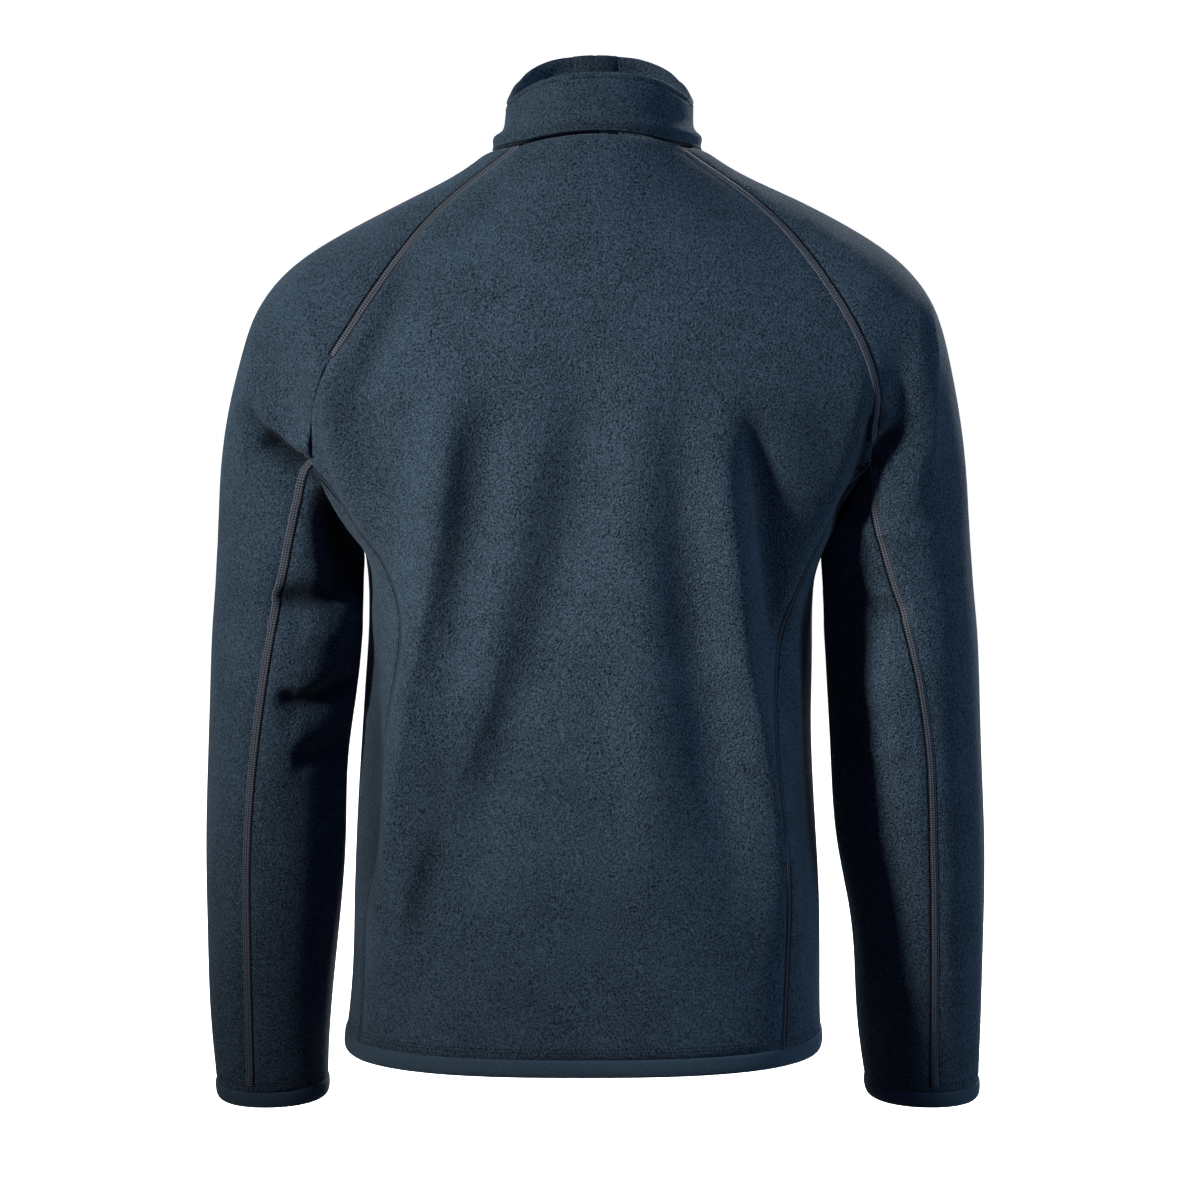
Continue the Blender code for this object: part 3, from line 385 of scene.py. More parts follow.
ARM_CREASES = {
    "left": (
        # the pull from the armpit, light above and dark below
        (-0.0035, 0.009, 0.005, SOFT,
         ((0.268, -0.190), (0.256, -0.200), (0.243, -0.213), (0.232, -0.223))),
        (-0.0100, 0.011, 0.006, SOFT,
         ((0.250, -0.208), (0.240, -0.220), (0.221, -0.232), (0.200, -0.249))),
        (0.0060, 0.005, 0.011, SOFT,
         ((0.258, -0.188), (0.243, -0.203), (0.226, -0.216), (0.206, -0.229))),
        # the deep hollow between the seam and the body, below the armpit
        (-0.0130, 0.015, 0.014, SOFT,
         ((0.205, -0.232), (0.198, -0.262), (0.190, -0.300), (0.178, -0.350))),
        # the elbow
        (-0.0090, 0.009, 0.008, SOFT,
         ((0.170, -0.336), (0.193, -0.339), (0.221, -0.336), (0.248, -0.338))),
        (0.0040, 0.010, 0.010, SOFT, ((0.176, -0.362), (0.200, -0.366), (0.228, -0.360))),
        (-0.0080, 0.009, 0.008, SOFT,
         ((0.178, -0.406), (0.209, -0.418), (0.226, -0.419), (0.246, -0.410))),
        (0.0030, 0.010, 0.010, SOFT, ((0.185, -0.434), (0.214, -0.442), (0.235, -0.440))),
        (-0.0040, 0.010, 0.009, SOFT, ((0.188, -0.455), (0.205, -0.462), (0.232, -0.463))),
        # short ones at the shoulder
        (0.0030, 0.005, 0.006, CRISP,
         ((0.216, -0.100), (0.213, -0.121), (0.205, -0.154), (0.204, -0.185))),
        (0.0020, 0.006, 0.006, CRISP,
         ((0.256, -0.130), (0.258, -0.155), (0.267, -0.236), (0.268, -0.270))),
    ),
    "right": (
        (-0.0090, 0.005, 0.006, SOFT,
         ((-0.228, -0.196), (-0.222, -0.213), (-0.211, -0.234), (-0.190, -0.290))),
        (-0.0012, 0.008, 0.006, SOFT,
         ((-0.229, -0.085), (-0.233, -0.126), (-0.229, -0.175), (-0.222, -0.215))),
        RIGHT_ARMPIT,
        (0.0070, 0.016, 0.016, SOFT,
         ((-0.236, -0.090), (-0.243, -0.150), (-0.243, -0.220), (-0.236, -0.290))),
        (0.0022, 0.005, 0.005, CRISP,
         ((-0.243, -0.090), (-0.253, -0.148), (-0.254, -0.219), (-0.252, -0.260))),
        (0.0035, 0.006, 0.009, CRISP,
         ((-0.190, -0.282), (-0.220, -0.289), (-0.252, -0.291), (-0.268, -0.286))),
        (-0.0035, 0.008, 0.008, SOFT, ((-0.190, -0.330), (-0.215, -0.345), (-0.240, -0.350))),
        (0.0030, 0.006, 0.008, CRISP, ((-0.200, -0.450), (-0.218, -0.457), (-0.240, -0.455))),
        (0.0020, 0.006, 0.008, CRISP, ((-0.198, -0.520), (-0.212, -0.524), (-0.232, -0.521))),
        (-0.0040, 0.012, 0.012, SOFT,
         ((-0.196, -0.300), (-0.193, -0.360), (-0.196, -0.440), (-0.204, -0.500))),
    ),
}
# The front hangs in a few long soft drapes from the chest, and the sleeves bend at the inner elbow.
FRONT_CREASES = (
    (0.0040, 0.014, 0.008, CRISP,
     ((0.112, -0.140), (0.118, -0.240), (0.112, -0.350), (0.125, -0.470), (0.138, -0.620))),
    (-0.0040, 0.012, 0.014, SOFT,
     ((0.082, -0.150), (0.086, -0.270), (0.078, -0.380), (0.092, -0.540))),
    (0.0030, 0.012, 0.012, SOFT,
     ((0.048, -0.210), (0.050, -0.330), (0.056, -0.480), (0.052, -0.620))),
    (0.0040, 0.008, 0.014, CRISP,
     ((-0.108, -0.150), (-0.116, -0.260), (-0.110, -0.360), (-0.119, -0.500), (-0.130, -0.640))),
    (-0.0045, 0.014, 0.012, SOFT,
     ((-0.080, -0.170), (-0.084, -0.300), (-0.090, -0.420), (-0.086, -0.560))),
    (0.0025, 0.012, 0.014, SOFT,
     ((-0.044, -0.180), (-0.050, -0.320), (-0.046, -0.460), (-0.054, -0.600))),
    (0.0030, 0.007, 0.018, SOFT,
     ((0.180, -0.130), (0.192, -0.170), (0.190, -0.215), (0.174, -0.270))),
    (0.0025, 0.018, 0.007, SOFT,
     ((-0.182, -0.135), (-0.193, -0.175), (-0.190, -0.220), (-0.172, -0.275))),
)
ARM_FRONT_CREASES = {
    "left": (
        (-0.0060, 0.009, 0.008, SOFT,
         ((0.186, -0.318), (0.212, -0.330), (0.242, -0.325), (0.262, -0.312))),
        (0.0040, 0.010, 0.010, SOFT, ((0.190, -0.350), (0.222, -0.358), (0.256, -0.345))),
        (-0.0055, 0.009, 0.009, SOFT, ((0.190, -0.385), (0.218, -0.390), (0.250, -0.372))),
        (-0.0035, 0.009, 0.009, SOFT, ((0.200, -0.440), (0.226, -0.448), (0.252, -0.436))),
        (-0.0050, 0.008, 0.010, SOFT, ((0.262, -0.175), (0.240, -0.205), (0.222, -0.235))),
    ),
    "right": (
        (-0.0060, 0.009, 0.008, SOFT,
         ((-0.188, -0.325), (-0.216, -0.336), (-0.246, -0.328), (-0.264, -0.316))),
        (0.0035, 0.010, 0.010, SOFT, ((-0.192, -0.360), (-0.224, -0.366), (-0.254, -0.352))),
        (-0.0050, 0.009, 0.009, SOFT, ((-0.192, -0.396), (-0.222, -0.402), (-0.254, -0.388))),
        (-0.0050, 0.010, 0.008, SOFT, ((-0.264, -0.170), (-0.243, -0.202), (-0.224, -0.232))),
    ),
}
BEHIND, AHEAD = 1, -1
SIDE_REACH, SIDE_FADE = 0.1, 0.5  # creases die away where the cloth turns to the side
FADE_IN, FADE_OUT = 0.22, 0.25  # and over these shares of their length at its two ends
PAINTED_SHADE_DEPTH = 0.010  # the crease depth at which the painted shade is darkest


def line_gap(flat, line):
    """How far points lie from a line, less than 0 to the right of its way, and how far along."""
    line = np.array(line)
    steps = np.linalg.norm(np.diff(line, axis=0), axis=1)
    gap = np.full(len(flat), 9.0)
    along = np.zeros(len(flat))
    for start, end, step, before in zip(line, line[1:], steps, np.cumsum(steps) - steps):
        way = (end - start) / step
        share = np.clip((flat - start) @ way, 0, step)
        off = flat - start - share[:, None] * way
        near = np.linalg.norm(off, axis=1)
        side = np.where(way[0] * off[:, 1] - way[1] * off[:, 0] > 0, 1, -1)
        closer = near < np.abs(gap)
        gap = np.where(closer, near * side, gap)
        along = np.where(closer, (before + share) / steps.sum(), along)
    return gap, along


def ease(value):
    """A smooth step from 0 to 1."""
    value = np.clip(value, 0, 1)
    return value * value * (3 - 2 * value)


def outward_normals(mesh):
    """Each point's normal, outwards on both faces of the cloth and on the rim between them."""
    points, normals, outer = layer_normals(mesh, OUTSIDE)
    _, inward, inner = layer_normals(mesh, INSIDE)
    normals[~outer & inner] = -inward[~outer & inner]
    tree = KDTree(int(outer.sum()))
    for index in np.flatnonzero(outer):
        tree.insert(points[index], index)
    tree.balance()
    for index in np.flatnonzero(~outer & ~inner):
        normals[index] = normals[tree.find(points[index])[1]]
    return points, normals


def press(mesh, creases, facing):
    """Presses creases into the part of a shell that faces backwards or forwards. Deep creases get
    painted shade, kept in a point attribute that darkens the fleece.
    """
    points, normals = outward_normals(mesh)
    reach = ease((normals[:, 1] * facing + SIDE_REACH) / SIDE_FADE)
    height = np.zeros(len(points))
    painted_crease_shade = np.zeros(len(points))
    for high, left, right, sharp, line in creases:
        gap, along = line_gap(points[:, [0, 2]], line)
        across = np.abs(gap) / np.where(gap > 0, left, right)
        lift = high * reach * np.exp(-(across**sharp))
        lift = lift * ease(along / FADE_IN) * ease((1 - along) / FADE_OUT)
        height += lift
        painted_crease_shade = np.maximum(painted_crease_shade, -lift / PAINTED_SHADE_DEPTH)
    mesh.vertices.foreach_set("co", (points + normals * height[:, None]).ravel())
    # the painted shade of each point's deepest crease, which darkens the fleece
    if "painted_crease_shade" not in mesh.attributes:
        mesh.attributes.new("painted_crease_shade", "FLOAT", "POINT")
    values = mesh.attributes["painted_crease_shade"].data
    before = np.empty(len(points))
    values.foreach_get("value", before)
    values.foreach_set("value", np.clip(np.maximum(before, painted_crease_shade), 0, 1))
    mesh.update()


BODY_PANELS = ("back", "front_left", "front_right")
for name in BODY_PANELS:
    press(shells[name], BACK_CREASES, BEHIND)
    press(shells[name], FRONT_CREASES, AHEAD)
for side in ("left", "right"):
    press(shells["sleeve_" + side], ARM_CREASES[side], BEHIND)
    press(shells["sleeve_" + side], ARM_FRONT_CREASES[side], AHEAD)

# ---- seams ------------------------------------------------------------------------------------
# The panels meet in flat coverstitched seams: a raised net of thread, 6 mm wide, over both cut
# edges, with a narrow flat strip along one side painted dark as the shadow of the upper edge.
# A seam's line is found between the two shells' rims.
SEAM_REACH = 0.003
SEAM_STEP = 0.002
SEAM_WIDTH, NARROW_SEAM = 0.006, 0.004
SEAM_HEIGHT = 0.0011
SEAM_TUCK = 0.0003
SHADOW_STRIP_WIDTH, SHADOW_STRIP_LIFT = 0.0014, 0.0002
NET = 0.0020
STRANDS_HIGH = 0.0004
ACROSS = 8
SMOOTHINGS = 3


def rim_loops(mesh):
    """The points between a shell's outside and its rim, in order round each loop."""
    kinds = {}
    for polygon in mesh.polygons:
        for key in polygon.edge_keys:
            kinds.setdefault(key, []).append(polygon.material_index)
    joined = {}
    for (a, b), sides in kinds.items():
        if sorted(sides) == [OUTSIDE, RIM]:
            joined.setdefault(a, []).append(b)
            joined.setdefault(b, []).append(a)
    loops = []
    while joined:
        at = next(iter(joined))
        loop = []
        while at is not None:
            loop.append(at)
            onward = [b for b in joined.pop(at) if b in joined]
            at = onward[0] if onward else None
        loops.append([mesh.vertices[index].co.copy() for index in loop])
    return loops


def tree_of(points):
    """Points that can be asked for the nearest one."""
    tree = KDTree(len(points))
    for index, point in enumerate(points):
        tree.insert(point, index)
    tree.balance()
    return tree


def seam_line(name, *others):
    """The longest line along which one shell's rim lies beside the other pieces."""
    tree = tree_of([vert.co.copy() for other in others for vert in shells[other].vertices])
    best = []
    for loop in rim_loops(shells[name]):
        pairs = [tree.find(point) for point in loop]
        near = [pair[2] < SEAM_REACH for pair in pairs]
        if all(near):
            closed = [(p + pair[0]) / 2 for p, pair in zip(loop, pairs)]
            return closed + closed[:1]
        first = near.index(False)
        run = []
        for k in range(len(loop) + 1):
            index = (first + k) % len(loop)
            if near[index]:
                run.append((loop[index] + pairs[index][0]) / 2)
            else:
                best = max(best, run, key=len)
                run = []
    return best


def outside_tree(*names):
    """The outer faces of some shells, to set things on."""
    points, faces = [], []
    for name in names:
        mesh = shells[name]
        first = len(points)
        points += [vert.co.copy() for vert in mesh.vertices]
        shown = [polygon for polygon in mesh.polygons if polygon.material_index == OUTSIDE]
        faces += [[first + i for i in polygon.vertices] for polygon in shown]
    return BVHTree.FromPolygons(points, faces)


def spaced(points, step):
    """Points at equal steps along a smooth curve through the given ones."""
    points = np.array([tuple(point) for point in points])
    gaps = np.linalg.norm(np.diff(points, axis=0), axis=1)
    points = points[np.concatenate([[True], gaps > WELD])]
    gaps = np.linalg.norm(np.diff(points, axis=0), axis=1)
    length = np.concatenate([[0], np.cumsum(gaps)])
    slope = np.gradient(points, length, axis=0)
    at = np.linspace(0, length[-1], max(2, round(length[-1] / step)) + 1)
    i = np.clip(np.searchsorted(length, at, side="right") - 1, 0, len(length) - 2)
    gap = (length[i + 1] - length[i])[:, None]
    t = (at - length[i])[:, None] / gap
    start = (1 + 2 * t) * (1 - t) ** 2 * points[i] + t * (1 - t) ** 2 * gap * slope[i]
    end = t * t * (3 - 2 * t) * points[i + 1] + t * t * (t - 1) * gap * slope[i + 1]
    return start + end


def laid(points, tree):
    """Points set down on a surface, with the way along, the way across and the way out."""
    hits = [tree.find_nearest(Vector(point)) for point in points]
    places = np.array([hit[0] for hit in hits])
    out = np.array([hit[1] for hit in hits])
    for _ in range(SMOOTHINGS):
        out[1:-1] = (out[:-2] + 2 * out[1:-1] + out[2:]) / 4
    out /= np.linalg.norm(out, axis=1)[:, None]
    along = np.gradient(places, axis=0)
    along -= out * (along * out).sum(axis=1)[:, None]
    along /= np.linalg.norm(along, axis=1)[:, None]
    return places, along, np.cross(out, along), out


def band(name, points, tree, width, height, shadow_strip, material):
    """A raised strip along a line on the cloth, with its length and breadth in metres as its UV. It
    has a flat strip painted dark as shadow on the left of its way, on the right if less than 0, or
    none."""
    line = spaced(points, SEAM_STEP)
    places, _, sideways, out = laid(line, tree)
    last = len(line) - 1
    bm = bmesh.new()
    bmesh.ops.create_grid(bm, x_segments=last, y_segments=ACROSS, size=0.5)
    uv = bm.loops.layers.uv.new("metres")
    reach = width + SHADOW_STRIP_WIDTH if shadow_strip else width
    for face in bm.faces:
        for loop in face.loops:
            co = loop.vert.co
            loop[uv].uv = ((co.x + 0.5) * last * SEAM_STEP, (co.y + 0.5) * reach)
    for vert in bm.verts:
        k = round((vert.co.x + 0.5) * last)
        over = (vert.co.y + 0.5) * reach
        aside = (over - width / 2) * (-1 if shadow_strip < 0 else 1)
        rest = tree.find_nearest(Vector(places[k] + sideways[k] * aside))[0]
        share = abs(over * 2 / width - 1)
        lift = height * (1 - share**4) if share < 1 else SHADOW_STRIP_LIFT
        vert.co = rest + Vector(out[k]) * (lift - (SEAM_TUCK if over == 0 else 0))
    bmesh.ops.recalc_face_normals(bm, faces=bm.faces)
    mesh = bpy.data.meshes.new(name)
    bm.to_mesh(mesh)
    bm.free()
    return piece(name, mesh, material)


def copies(name, form, spots, material):
    """Many copies of a small form, joined in one mesh."""
    points = np.array([tuple(vert.co) for vert in form.verts])
    faces = [[vert.index for vert in face.verts] for face in form.faces]
    placed = [points @ np.array(spot.to_3x3()).T + np.array(spot.translation) for spot in spots]
    joined = [[k * len(points) + i for i in face] for k in range(len(spots)) for face in faces]
    mesh = bpy.data.meshes.new(name)
    mesh.from_pydata(np.concatenate(placed).tolist(), [], joined)
    form.free()
    return piece(name, mesh, material)


def stitches(name, lines, tree, pitch, size, lift, material):
    """Rows of thread. A stitch is a small rounded bead of the given size."""
    bead = bmesh.new()
    bmesh.ops.create_uvsphere(bead, u_segments=6, v_segments=4, radius=0.5)
    bead.verts.index_update()
    spots = []
    for line in lines:
        places, along, sideways, out = laid(spaced(line, pitch), tree)
        for place, x, y, z in zip(places, along, sideways, out):
            turn = Matrix((x * size[0], y * size[1], z * size[2])).transposed().to_4x4()
            spots.append(Matrix.Translation(place + z * lift) @ turn)
    return copies(name, bead, spots, material)


def thread(name, colour):
    """Textured polyester thread."""
    material, tree, shader = cloth_material(name, 0.8, 0.05)
    shader.inputs["Base Color"].default_value = linear(colour)
    return material


def seam_net(name, width, gap, strand, shadow_strip="#04060a"):
    """Threads that cross over a seam both ways. Past the seam's width the colour is painted dark as
    shadow.
    """
    material, tree, shader = cloth_material(name, 0.8, 0.05)
    uv = add_node(tree, "UVMap", uv_map="metres").outputs["UV"]
    across = add_node(tree, "SeparateXYZ", {"Vector": uv})
    waves = []
    for way in ("X", "Y"):
        turns = add_node(
            tree, "Math", {0: across.outputs[way], 1: 2 * pi / NET}, operation="MULTIPLY"
        )
        wave = add_node(tree, "Math", {0: turns.outputs["Value"]}, operation="SINE")
        waves.append(wave.outputs["Value"])
    both = add_node(tree, "Math", {0: waves[0], 1: waves[1]}, operation="ADD").outputs["Value"]
    crossed = add_node(tree, "MapRange", {"Value": both, "From Min": -1.5, "From Max": 0.8})
    strands = crossed.outputs["Result"]
    net = add_node(
        tree, "Mix", {"Factor": strands, "A": linear(gap), "B": linear(strand)}, data_type="RGBA"
    )
    # painted shadow: past the seam's width the colour turns to the shadow strip's dark
    shadow_strip_mask = add_node(tree, "Math", {0: across.outputs["Y"], 1: width}, operation="GREATER_THAN")
    colour = add_node(
        tree,
        "Mix",
        {"Factor": shadow_strip_mask.outputs["Value"], "A": net.outputs["Result"], "B": linear(shadow_strip)},
        data_type="RGBA",
    )
    relief = add_node(tree, "Bump", {"Height": strands, "Strength": 0.6, "Distance": STRANDS_HIGH})
    tree.links.new(colour.outputs["Result"], shader.inputs["Base Color"])
    tree.links.new(relief.outputs["Normal"], shader.inputs["Normal"])
    return material


coverstitch = seam_net("coverstitch_net", SEAM_WIDTH, gap="#0a0e14", strand="#4a505a")
narrow_stitch = seam_net("narrow_coverstitch", NARROW_SEAM, gap="#070b10", strand="#343d48")
dark_thread = thread("sunk_thread", "#05090e")

BACK_ARM_SEAMS = {  # down the back of each sleeve, from the armpit to the cuff
    "left": (
        (0.2150, -0.2240), (0.2185, -0.2370), (0.226, -0.267), (0.235, -0.310), (0.250, -0.388),
        (0.260, -0.458), (0.267, -0.543), (0.268, -0.625), (0.268, -0.731),
    ),
    "right": (
        (-0.210, -0.236), (-0.210, -0.262), (-0.219, -0.301), (-0.235, -0.353), (-0.254, -0.448),
        (-0.259, -0.539), (-0.262, -0.650), (-0.263, -0.731),
    ),
}

seam_lines = {}
for side in ("left", "right"):
    sleeve, front = "sleeve_" + side, "front_" + side
    turn = 1 if side == "left" else -1
    arm_tree = outside_tree(sleeve, "back")
    arm_back = []
    for x, z in BACK_ARM_SEAMS[side]:
        arm_back.append(arm_tree.ray_cast(Vector((x, 1, z)), Vector((0, -1, 0)))[0])
    # each line with the pieces it lies on and the side its painted shadow strip is on
    seam_lines["raglan_back_" + side] = (seam_line("back", sleeve), ("back", sleeve), -turn)
    seam_lines["side_seam_" + side] = (seam_line("back", front), ("back", front), -turn)
    seam_lines["raglan_front_" + side] = (seam_line(front, sleeve), (front, sleeve), turn)
    seam_lines["arm_seam_" + side] = (arm_back, (sleeve, "back"), turn)
neck_line = seam_line("collar", *PANELS)

# The stitching draws the cloth in along a seam, so it swells a little on both sides.
PINCH_DEPTH, PINCH_BREADTH = 0.0016, 0.0055
SLACK_END = 6
drawn_in = []
for line, _, _ in seam_lines.values():
    drawn_in += [Vector(point) for point in spaced(line, SEAM_STEP)[SLACK_END:-SLACK_END]]
drawn_in = tree_of(drawn_in + [Vector(p) for p in spaced(neck_line, SEAM_STEP)])
for name in PANELS + ("collar",):
    points, normals = outward_normals(shells[name])
    gaps = np.array([drawn_in.find(Vector(point))[2] for point in points])
    depth = PINCH_DEPTH * np.exp(-((gaps / PINCH_BREADTH) ** 2))
    shells[name].vertices.foreach_set("co", (points - normals * depth[:, None]).ravel())
    shells[name].update()

# The collar swells over the neck seam, where its two plies turn in, most at its sides. It flares at
# the top in front. A row of stitches sinks into it just under its folded top.
COLLAR_TALL, COLLAR_HALF = 0.036, 0.078
SWELL_UP, SWELL_BREADTH = 0.0090, 0.0055
SWELL, SIDE_SWELL = 0.0026, 0.0022
FLARE, FLARE_FADE = 0.0035, 0.03
FLARE_FROM_Z, FLARE_FROM_Y = 0.025, 0.02
ZIP_HALF, ZIP_FADE = 0.014, 0.02
TOP_ROW, ROW_DEPTH, ROW_BREADTH = 0.0034, 0.0013, 0.0012
neck_tree = tree_of([Vector(p) for p in spaced(neck_line, SEAM_STEP)])
top_line = [p for p in rim_loops(shells["collar"])[0] if neck_tree.find(p)[2] > COLLAR_TALL]
top_line.sort(key=lambda p: atan2(p.x, -p.y) % (2 * pi))
top_tree = tree_of(top_line)
points, normals = outward_normals(shells["collar"])
up = np.array([neck_tree.find(Vector(point))[2] for point in points])
down = np.array([top_tree.find(Vector(point))[2] for point in points])
x, y, z = points.T
off_zip = np.maximum(ease((np.abs(x) - ZIP_HALF) / ZIP_FADE), y > 0)
swell = SWELL + SIDE_SWELL * (x / COLLAR_HALF) ** 2
swell = swell * np.exp(-(((up - SWELL_UP) / SWELL_BREADTH) ** 2))
flare = FLARE * ease((z - FLARE_FROM_Z) / FLARE_FADE) * ease((FLARE_FROM_Y - y) / FLARE_FADE)
sunk = ROW_DEPTH * np.exp(-(((down - TOP_ROW) / ROW_BREADTH) ** 2))
points += normals * ((swell + flare) * off_zip - sunk)[:, None]
shells["collar"].vertices.foreach_set("co", points.ravel())
shells["collar"].update()

# Beside the zip, the two edges of the neck seam meet over the tape. Each goes half of the way.
MEETING = {
    "collar": ("front_left", "front_right"),
    "front_left": ("collar",),
    "front_right": ("collar",),
}
MEET_HALF, MEET_FADE = 0.026, 0.008
MEET_GAP, GAP_FADE = 0.0060, 0.0034
MEET_Z, MEET_TALL = -0.026, 0.01
AHEAD_OF = -0.05
shifts = {}
for name, others in MEETING.items():
    trees = []
    for other in others:
        mesh = shells[other]
        points = [vert.co.copy() for vert in mesh.vertices]
        trees.append(BVHTree.FromPolygons(points, [list(face.vertices) for face in mesh.polygons]))
    shifts[name] = []
    for vert in shells[name].vertices:
        x, y, z = vert.co
        if abs(x) < MEET_HALF and y < AHEAD_OF and abs(z - MEET_Z) < MEET_TALL:
            hits = [tree.find_nearest(vert.co) for tree in trees]
            hit, _, _, gap = min(hits, key=lambda found: found[3])
            share = ease((MEET_GAP - gap) / GAP_FADE) * ease((MEET_HALF - abs(x)) / MEET_FADE)
            shifts[name].append((vert, (hit - vert.co) * (0.5 * float(share))))
for name, moved in shifts.items():
    for vert, shift in moved:
        vert.co += shift
    shells[name].update()

# The guard's long edges are beaten flat against the collar and the fronts, its face towards the
# wearer more than the other.
GUARD_MIDDLE, GUARD_EDGE = 0.008, 0.009
BEATEN_IN, BEATEN_OUT = 0.0048, 0.0028
points, normals = outward_normals(shells["zip_guard"])
edge = ease((np.abs(points[:, 0]) - GUARD_MIDDLE) / GUARD_EDGE)
_, _, outside = layer_normals(shells["zip_guard"], OUTSIDE)
faces_wearer = outside if normals[:, 1].mean() > 0 else ~outside
points[:, 1] -= edge * np.where(faces_wearer, BEATEN_IN, BEATEN_OUT)
shells["zip_guard"].vertices.foreach_set("co", points.ravel())
shells["zip_guard"].update()

# A seam's last points are tucked under the armpit, or under the back's edge where that overhangs
# the sleeve, and only the rest of it shows.
SHOWING = {"raglan_front_left": -8, "raglan_front_right": -8, "raglan_back_left": -42}
NECK_SEAM = (0.0020, 0.0002)
seam_pieces = {}
for name, (line, on, shadow_strip) in seam_lines.items():
    line = spaced(line if line[0].z > line[-1].z else line[::-1], SEAM_STEP)
    width, net = SEAM_WIDTH, coverstitch
    if name.startswith("side_seam"):
        width, net = NARROW_SEAM, narrow_stitch
    line = line[: SHOWING.get(name)]
    strip = band(name, line, outside_tree(*on), width, SEAM_HEIGHT, shadow_strip, net)
    seam_pieces.setdefault(on[0], []).append(strip)
neck_cloth = outside_tree("collar", *PANELS)
neck = band("neck_seam", neck_line, neck_cloth, *NECK_SEAM, 0, dark_thread)
seam_pieces.setdefault("collar", []).append(neck)

# One row of stitches holds the collar's folded top, and one runs down each front beside the zip.
ZIP_ROW = 0.006
STITCH, STITCH_PITCH = (0.0021, 0.0010, 0.0007), 0.0027
collar_tree = outside_tree("collar")
top_line = [collar_tree.find_nearest(p - Vector((0, 0, TOP_ROW)))[0] for p in top_line]
row = stitches("collar_top_row", [top_line], collar_tree, STITCH_PITCH, STITCH, 0, dark_thread)
seam_pieces["collar"].append(row)
for side in ("left", "right"):
    front = "front_" + side
    tree = outside_tree(front)
    shift = Vector((ZIP_ROW if side == "left" else -ZIP_ROW, 0, 0))
    edge = [tree.find_nearest(p + shift)[0] for p in seam_line(front, "zip_tape_" + side)]
    row = stitches(front + "_zip_row", [edge], tree, STITCH_PITCH, STITCH, 0, dark_thread)
    seam_pieces.setdefault(front, []).append(row)

# ---- bindings ---------------------------------------------------------------------------------
# The hem and both cuffs are bound with a smooth folded strip of stretch knit, 14 mm deep, whose two
# lips close over the raw edge. Two needle rows sink into the fleece just above it, where a second
# line of stitching holds the turned edge.
ROWS_ABOVE = (0.0055, 0.0080)
NEEDLE_STITCH, NEEDLE_PITCH = (0.0024, 0.0009, 0.0006), 0.0032
NEEDLE_SUNK = 0.0001
LIP, LIP_REACH, LIP_FADE = 0.0014, 0.0065, 0.003
WALE, WALE_HIGH = 0.0009, 0.0004


def stretch_knit(name):
    """A fine smooth jersey with some elastane, its wales 0.9 mm apart."""
    material, tree, shader = cloth_material(name, 0.85, 0.08)
    place = add_node(tree, "TexCoord").outputs["Object"]
    wales = add_node(tree, "TexNoise", {"Vector": place, "Scale": 1 / WALE, "Detail": 2})
    colour = add_node(
        tree,
        "Mix",
        {"Factor": wales.outputs["Fac"], "A": linear("#1d2a35"), "B": linear("#384957")},
        data_type="RGBA",
    )
    relief = add_node(
        tree, "Bump", {"Height": wales.outputs["Fac"], "Strength": 0.4, "Distance": WALE_HIGH}
    )
    tree.links.new(colour.outputs["Result"], shader.inputs["Base Color"])
    tree.links.new(relief.outputs["Normal"], shader.inputs["Normal"])
    return material


jersey = stretch_knit("stretch_jersey")

cut_edges = []
for panel in PANELS:
    for loop in rim_loops(shells[panel]):
        cut_edges += loop
cut_edges = tree_of(cut_edges)
for name in BINDINGS:
    for vert in shells[name].vertices:
        away = cut_edges.find(vert.co)[2]
        vert.co.z += LIP * float(ease((LIP_REACH - away) / LIP_FADE))

hem_line = []
for panel in ("front_right", "back", "front_left"):
    part = seam_line(panel, "hem_band")
    rising = part[0].x < part[-1].x
    hem_line += part if rising == (panel == "back") else part[::-1]
edge_lines = {"hem_band": (hem_line, BODY_PANELS)}
for side in ("left", "right"):
    edge_lines["cuff_" + side] = (seam_line("sleeve_" + side, "cuff_" + side), ("sleeve_" + side,))
for name, (loop, on) in edge_lines.items():
    tree = outside_tree(*on)
    rows = []
    for above in ROWS_ABOVE:
        rows.append([tree.find_nearest(p + Vector((0, 0, above)))[0] for p in loop])
    stitches(
        name + "_needle_rows", rows, tree, NEEDLE_PITCH, NEEDLE_STITCH, -NEEDLE_SUNK, dark_thread
    )

# ---- zip --------------------------------------------------------------------------------------
# A closed moulded zip runs up the front between two woven tapes. Its teeth are 2.8 mm apart on each
# tape and mesh by turns; above the slider they stand apart.
TOOTH_PITCH = 0.0028
TOOTH_SIZE = (0.0040, 0.0022, 0.0016)
TOOTH_MIDDLE, TOOTH_APART = 0.0014, 0.0012
TOOTH_BEVEL = 0.18
TEETH_FROM, SLIDER_FOOT = -0.679, 0.036
TOP_ROOM = 0.002
TAPE_EDGE, TAPE_STEP = 0.0005, 0.008
RIB, RIB_HIGH = 0.000748, 0.0003
ONE_BAND = pi / 10  # how far apart a wave texture's bands are at a scale of 1
SCUFF = 1 / 900  # the gunmetal's faint scuffs are 1.1 mm apart


def woven_tape(name):
    """Polyester tape, woven in ribs across its length."""
    material, tree, shader = cloth_material(name, 0.85, 0.05)
    place = add_node(tree, "TexCoord").outputs["Object"]
    weave = add_node(
        tree, "TexWave", {"Vector": place, "Scale": ONE_BAND / RIB}, bands_direction="Z"
    )
    colour = add_node(
        tree,
        "Mix",
        {"Factor": weave.outputs["Fac"], "A": linear("#0b1118"), "B": linear("#182330")},
        data_type="RGBA",
    )
    relief = add_node(
        tree, "Bump", {"Height": weave.outputs["Fac"], "Strength": 0.4, "Distance": RIB_HIGH}
    )
    tree.links.new(colour.outputs["Result"], shader.inputs["Base Color"])
    tree.links.new(relief.outputs["Normal"], shader.inputs["Normal"])
    return material


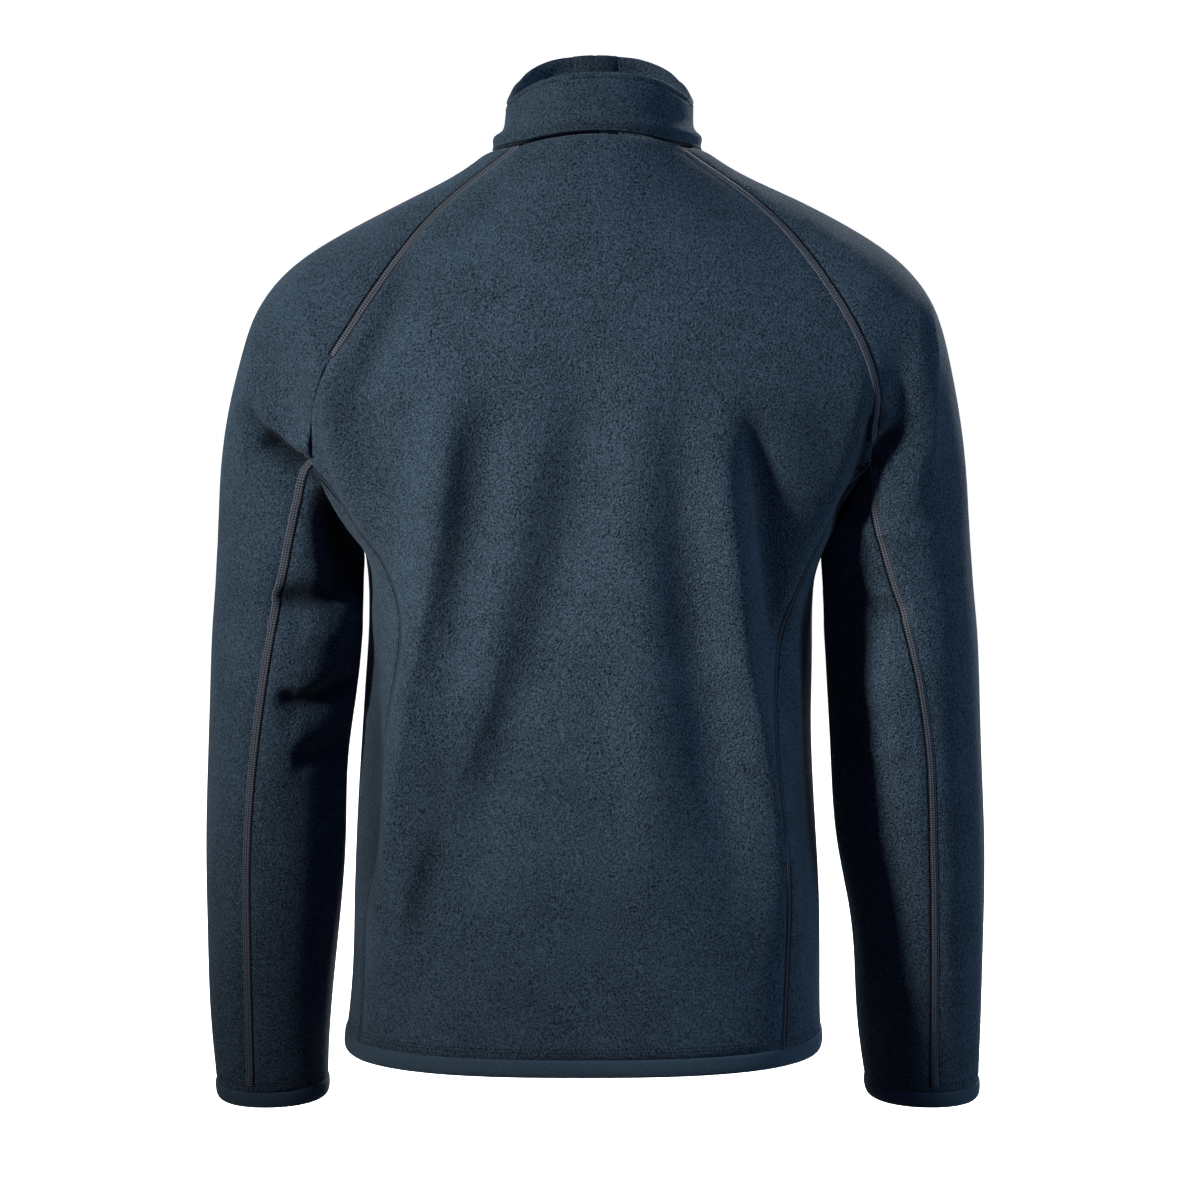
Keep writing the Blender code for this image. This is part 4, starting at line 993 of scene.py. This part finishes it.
tape_cloth = woven_tape("woven_polyester_tape")
acetal, tree, shader = new_material("navy_acetal")
shader.inputs["Base Color"].default_value = linear("#121a24")
shader.inputs["Roughness"].default_value = 0.4
gunmetal, tree, shader = new_material("gunmetal_plate")
shader.inputs["Base Color"].default_value = linear("#5a5f66")
shader.inputs["Metallic"].default_value = 1.0
place = add_node(tree, "TexCoord").outputs["Object"]
wear = add_node(tree, "TexNoise", {"Vector": place, "Scale": 1 / SCUFF})
polish = add_node(tree, "MapRange", {"Value": wear.outputs["Fac"], "To Min": 0.28, "To Max": 0.46})
tree.links.new(polish.outputs["Result"], shader.inputs["Roughness"])

tape_tree = outside_tree("zip_tape_left")
edge_x = min(vert.co.x for vert in shells["zip_tape_left"].vertices) + TAPE_EDGE
tape_line = []
for z in np.arange(TEETH_FROM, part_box("zip_tape_left")[1][2] - TOP_ROOM, TAPE_STEP):
    hit = tape_tree.ray_cast(Vector((edge_x, -1, z)), Vector((0, 1, 0)))[0]
    if hit:
        tape_line.append(Vector((0, hit.y, hit.z)))
tooth = bmesh.new()
bmesh.ops.create_cube(tooth, size=1)
bmesh.ops.bevel(
    tooth,
    geom=tooth.edges[:],
    offset=TOOTH_BEVEL,
    segments=1,
    profile=0.5,
    affect="EDGES",
    material=-1,
)
tooth.verts.index_update()
chain = spaced(tape_line, TOOTH_PITCH / 2)
spots = []
for k, (place, along) in enumerate(zip(chain, np.gradient(chain, axis=0))):
    side = 1 if k % 2 else -1
    up = Vector(along).normalized()
    right = Vector((1, 0, 0))
    turn = Matrix((right, right.cross(up), up)).transposed().to_4x4()
    apart = TOOTH_MIDDLE if place[2] < SLIDER_FOOT else TOOTH_MIDDLE + TOOTH_APART
    middle = Matrix.Translation(Vector(place) + right * side * apart)
    spots.append(middle @ turn @ Matrix.Diagonal((*TOOTH_SIZE, 1)))
copies("zip_teeth", tooth, spots, acetal)
for name in ("zip_slider", "zip_pull", "zip_box"):
    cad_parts[name].data.materials.clear()
    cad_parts[name].data.materials.append(gunmetal)

# ---- finished cloth ---------------------------------------------------------------------------
# Every cloth piece in its finish, hung from the jacket. The guard's flat edges stay crisp.
GUARD_CRISP = radians(50)
# The insides, and the whole guard, take the darker copy of the fleece as painted shade.
FINISHES = dict.fromkeys(CLOTH, (fleece, shaded_inner_fleece, "fleece"))
FINISHES |= dict.fromkeys(BINDINGS, (jersey, jersey, "binding"))
FINISHES |= dict.fromkeys(("zip_tape_left", "zip_tape_right"), (tape_cloth, tape_cloth, "zip_tape"))
FINISHES["zip_guard"] = (shaded_inner_fleece, shaded_inner_fleece, "fleece")
cloth = {}
for name in CLOTH:
    outer, inner, slot = FINISHES[name]
    cloth[name] = piece(name + "_shell", shells[name], outer, inner, outer)
    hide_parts(name)
cloth["zip_guard"].data.set_sharp_from_angle(angle=GUARD_CRISP)
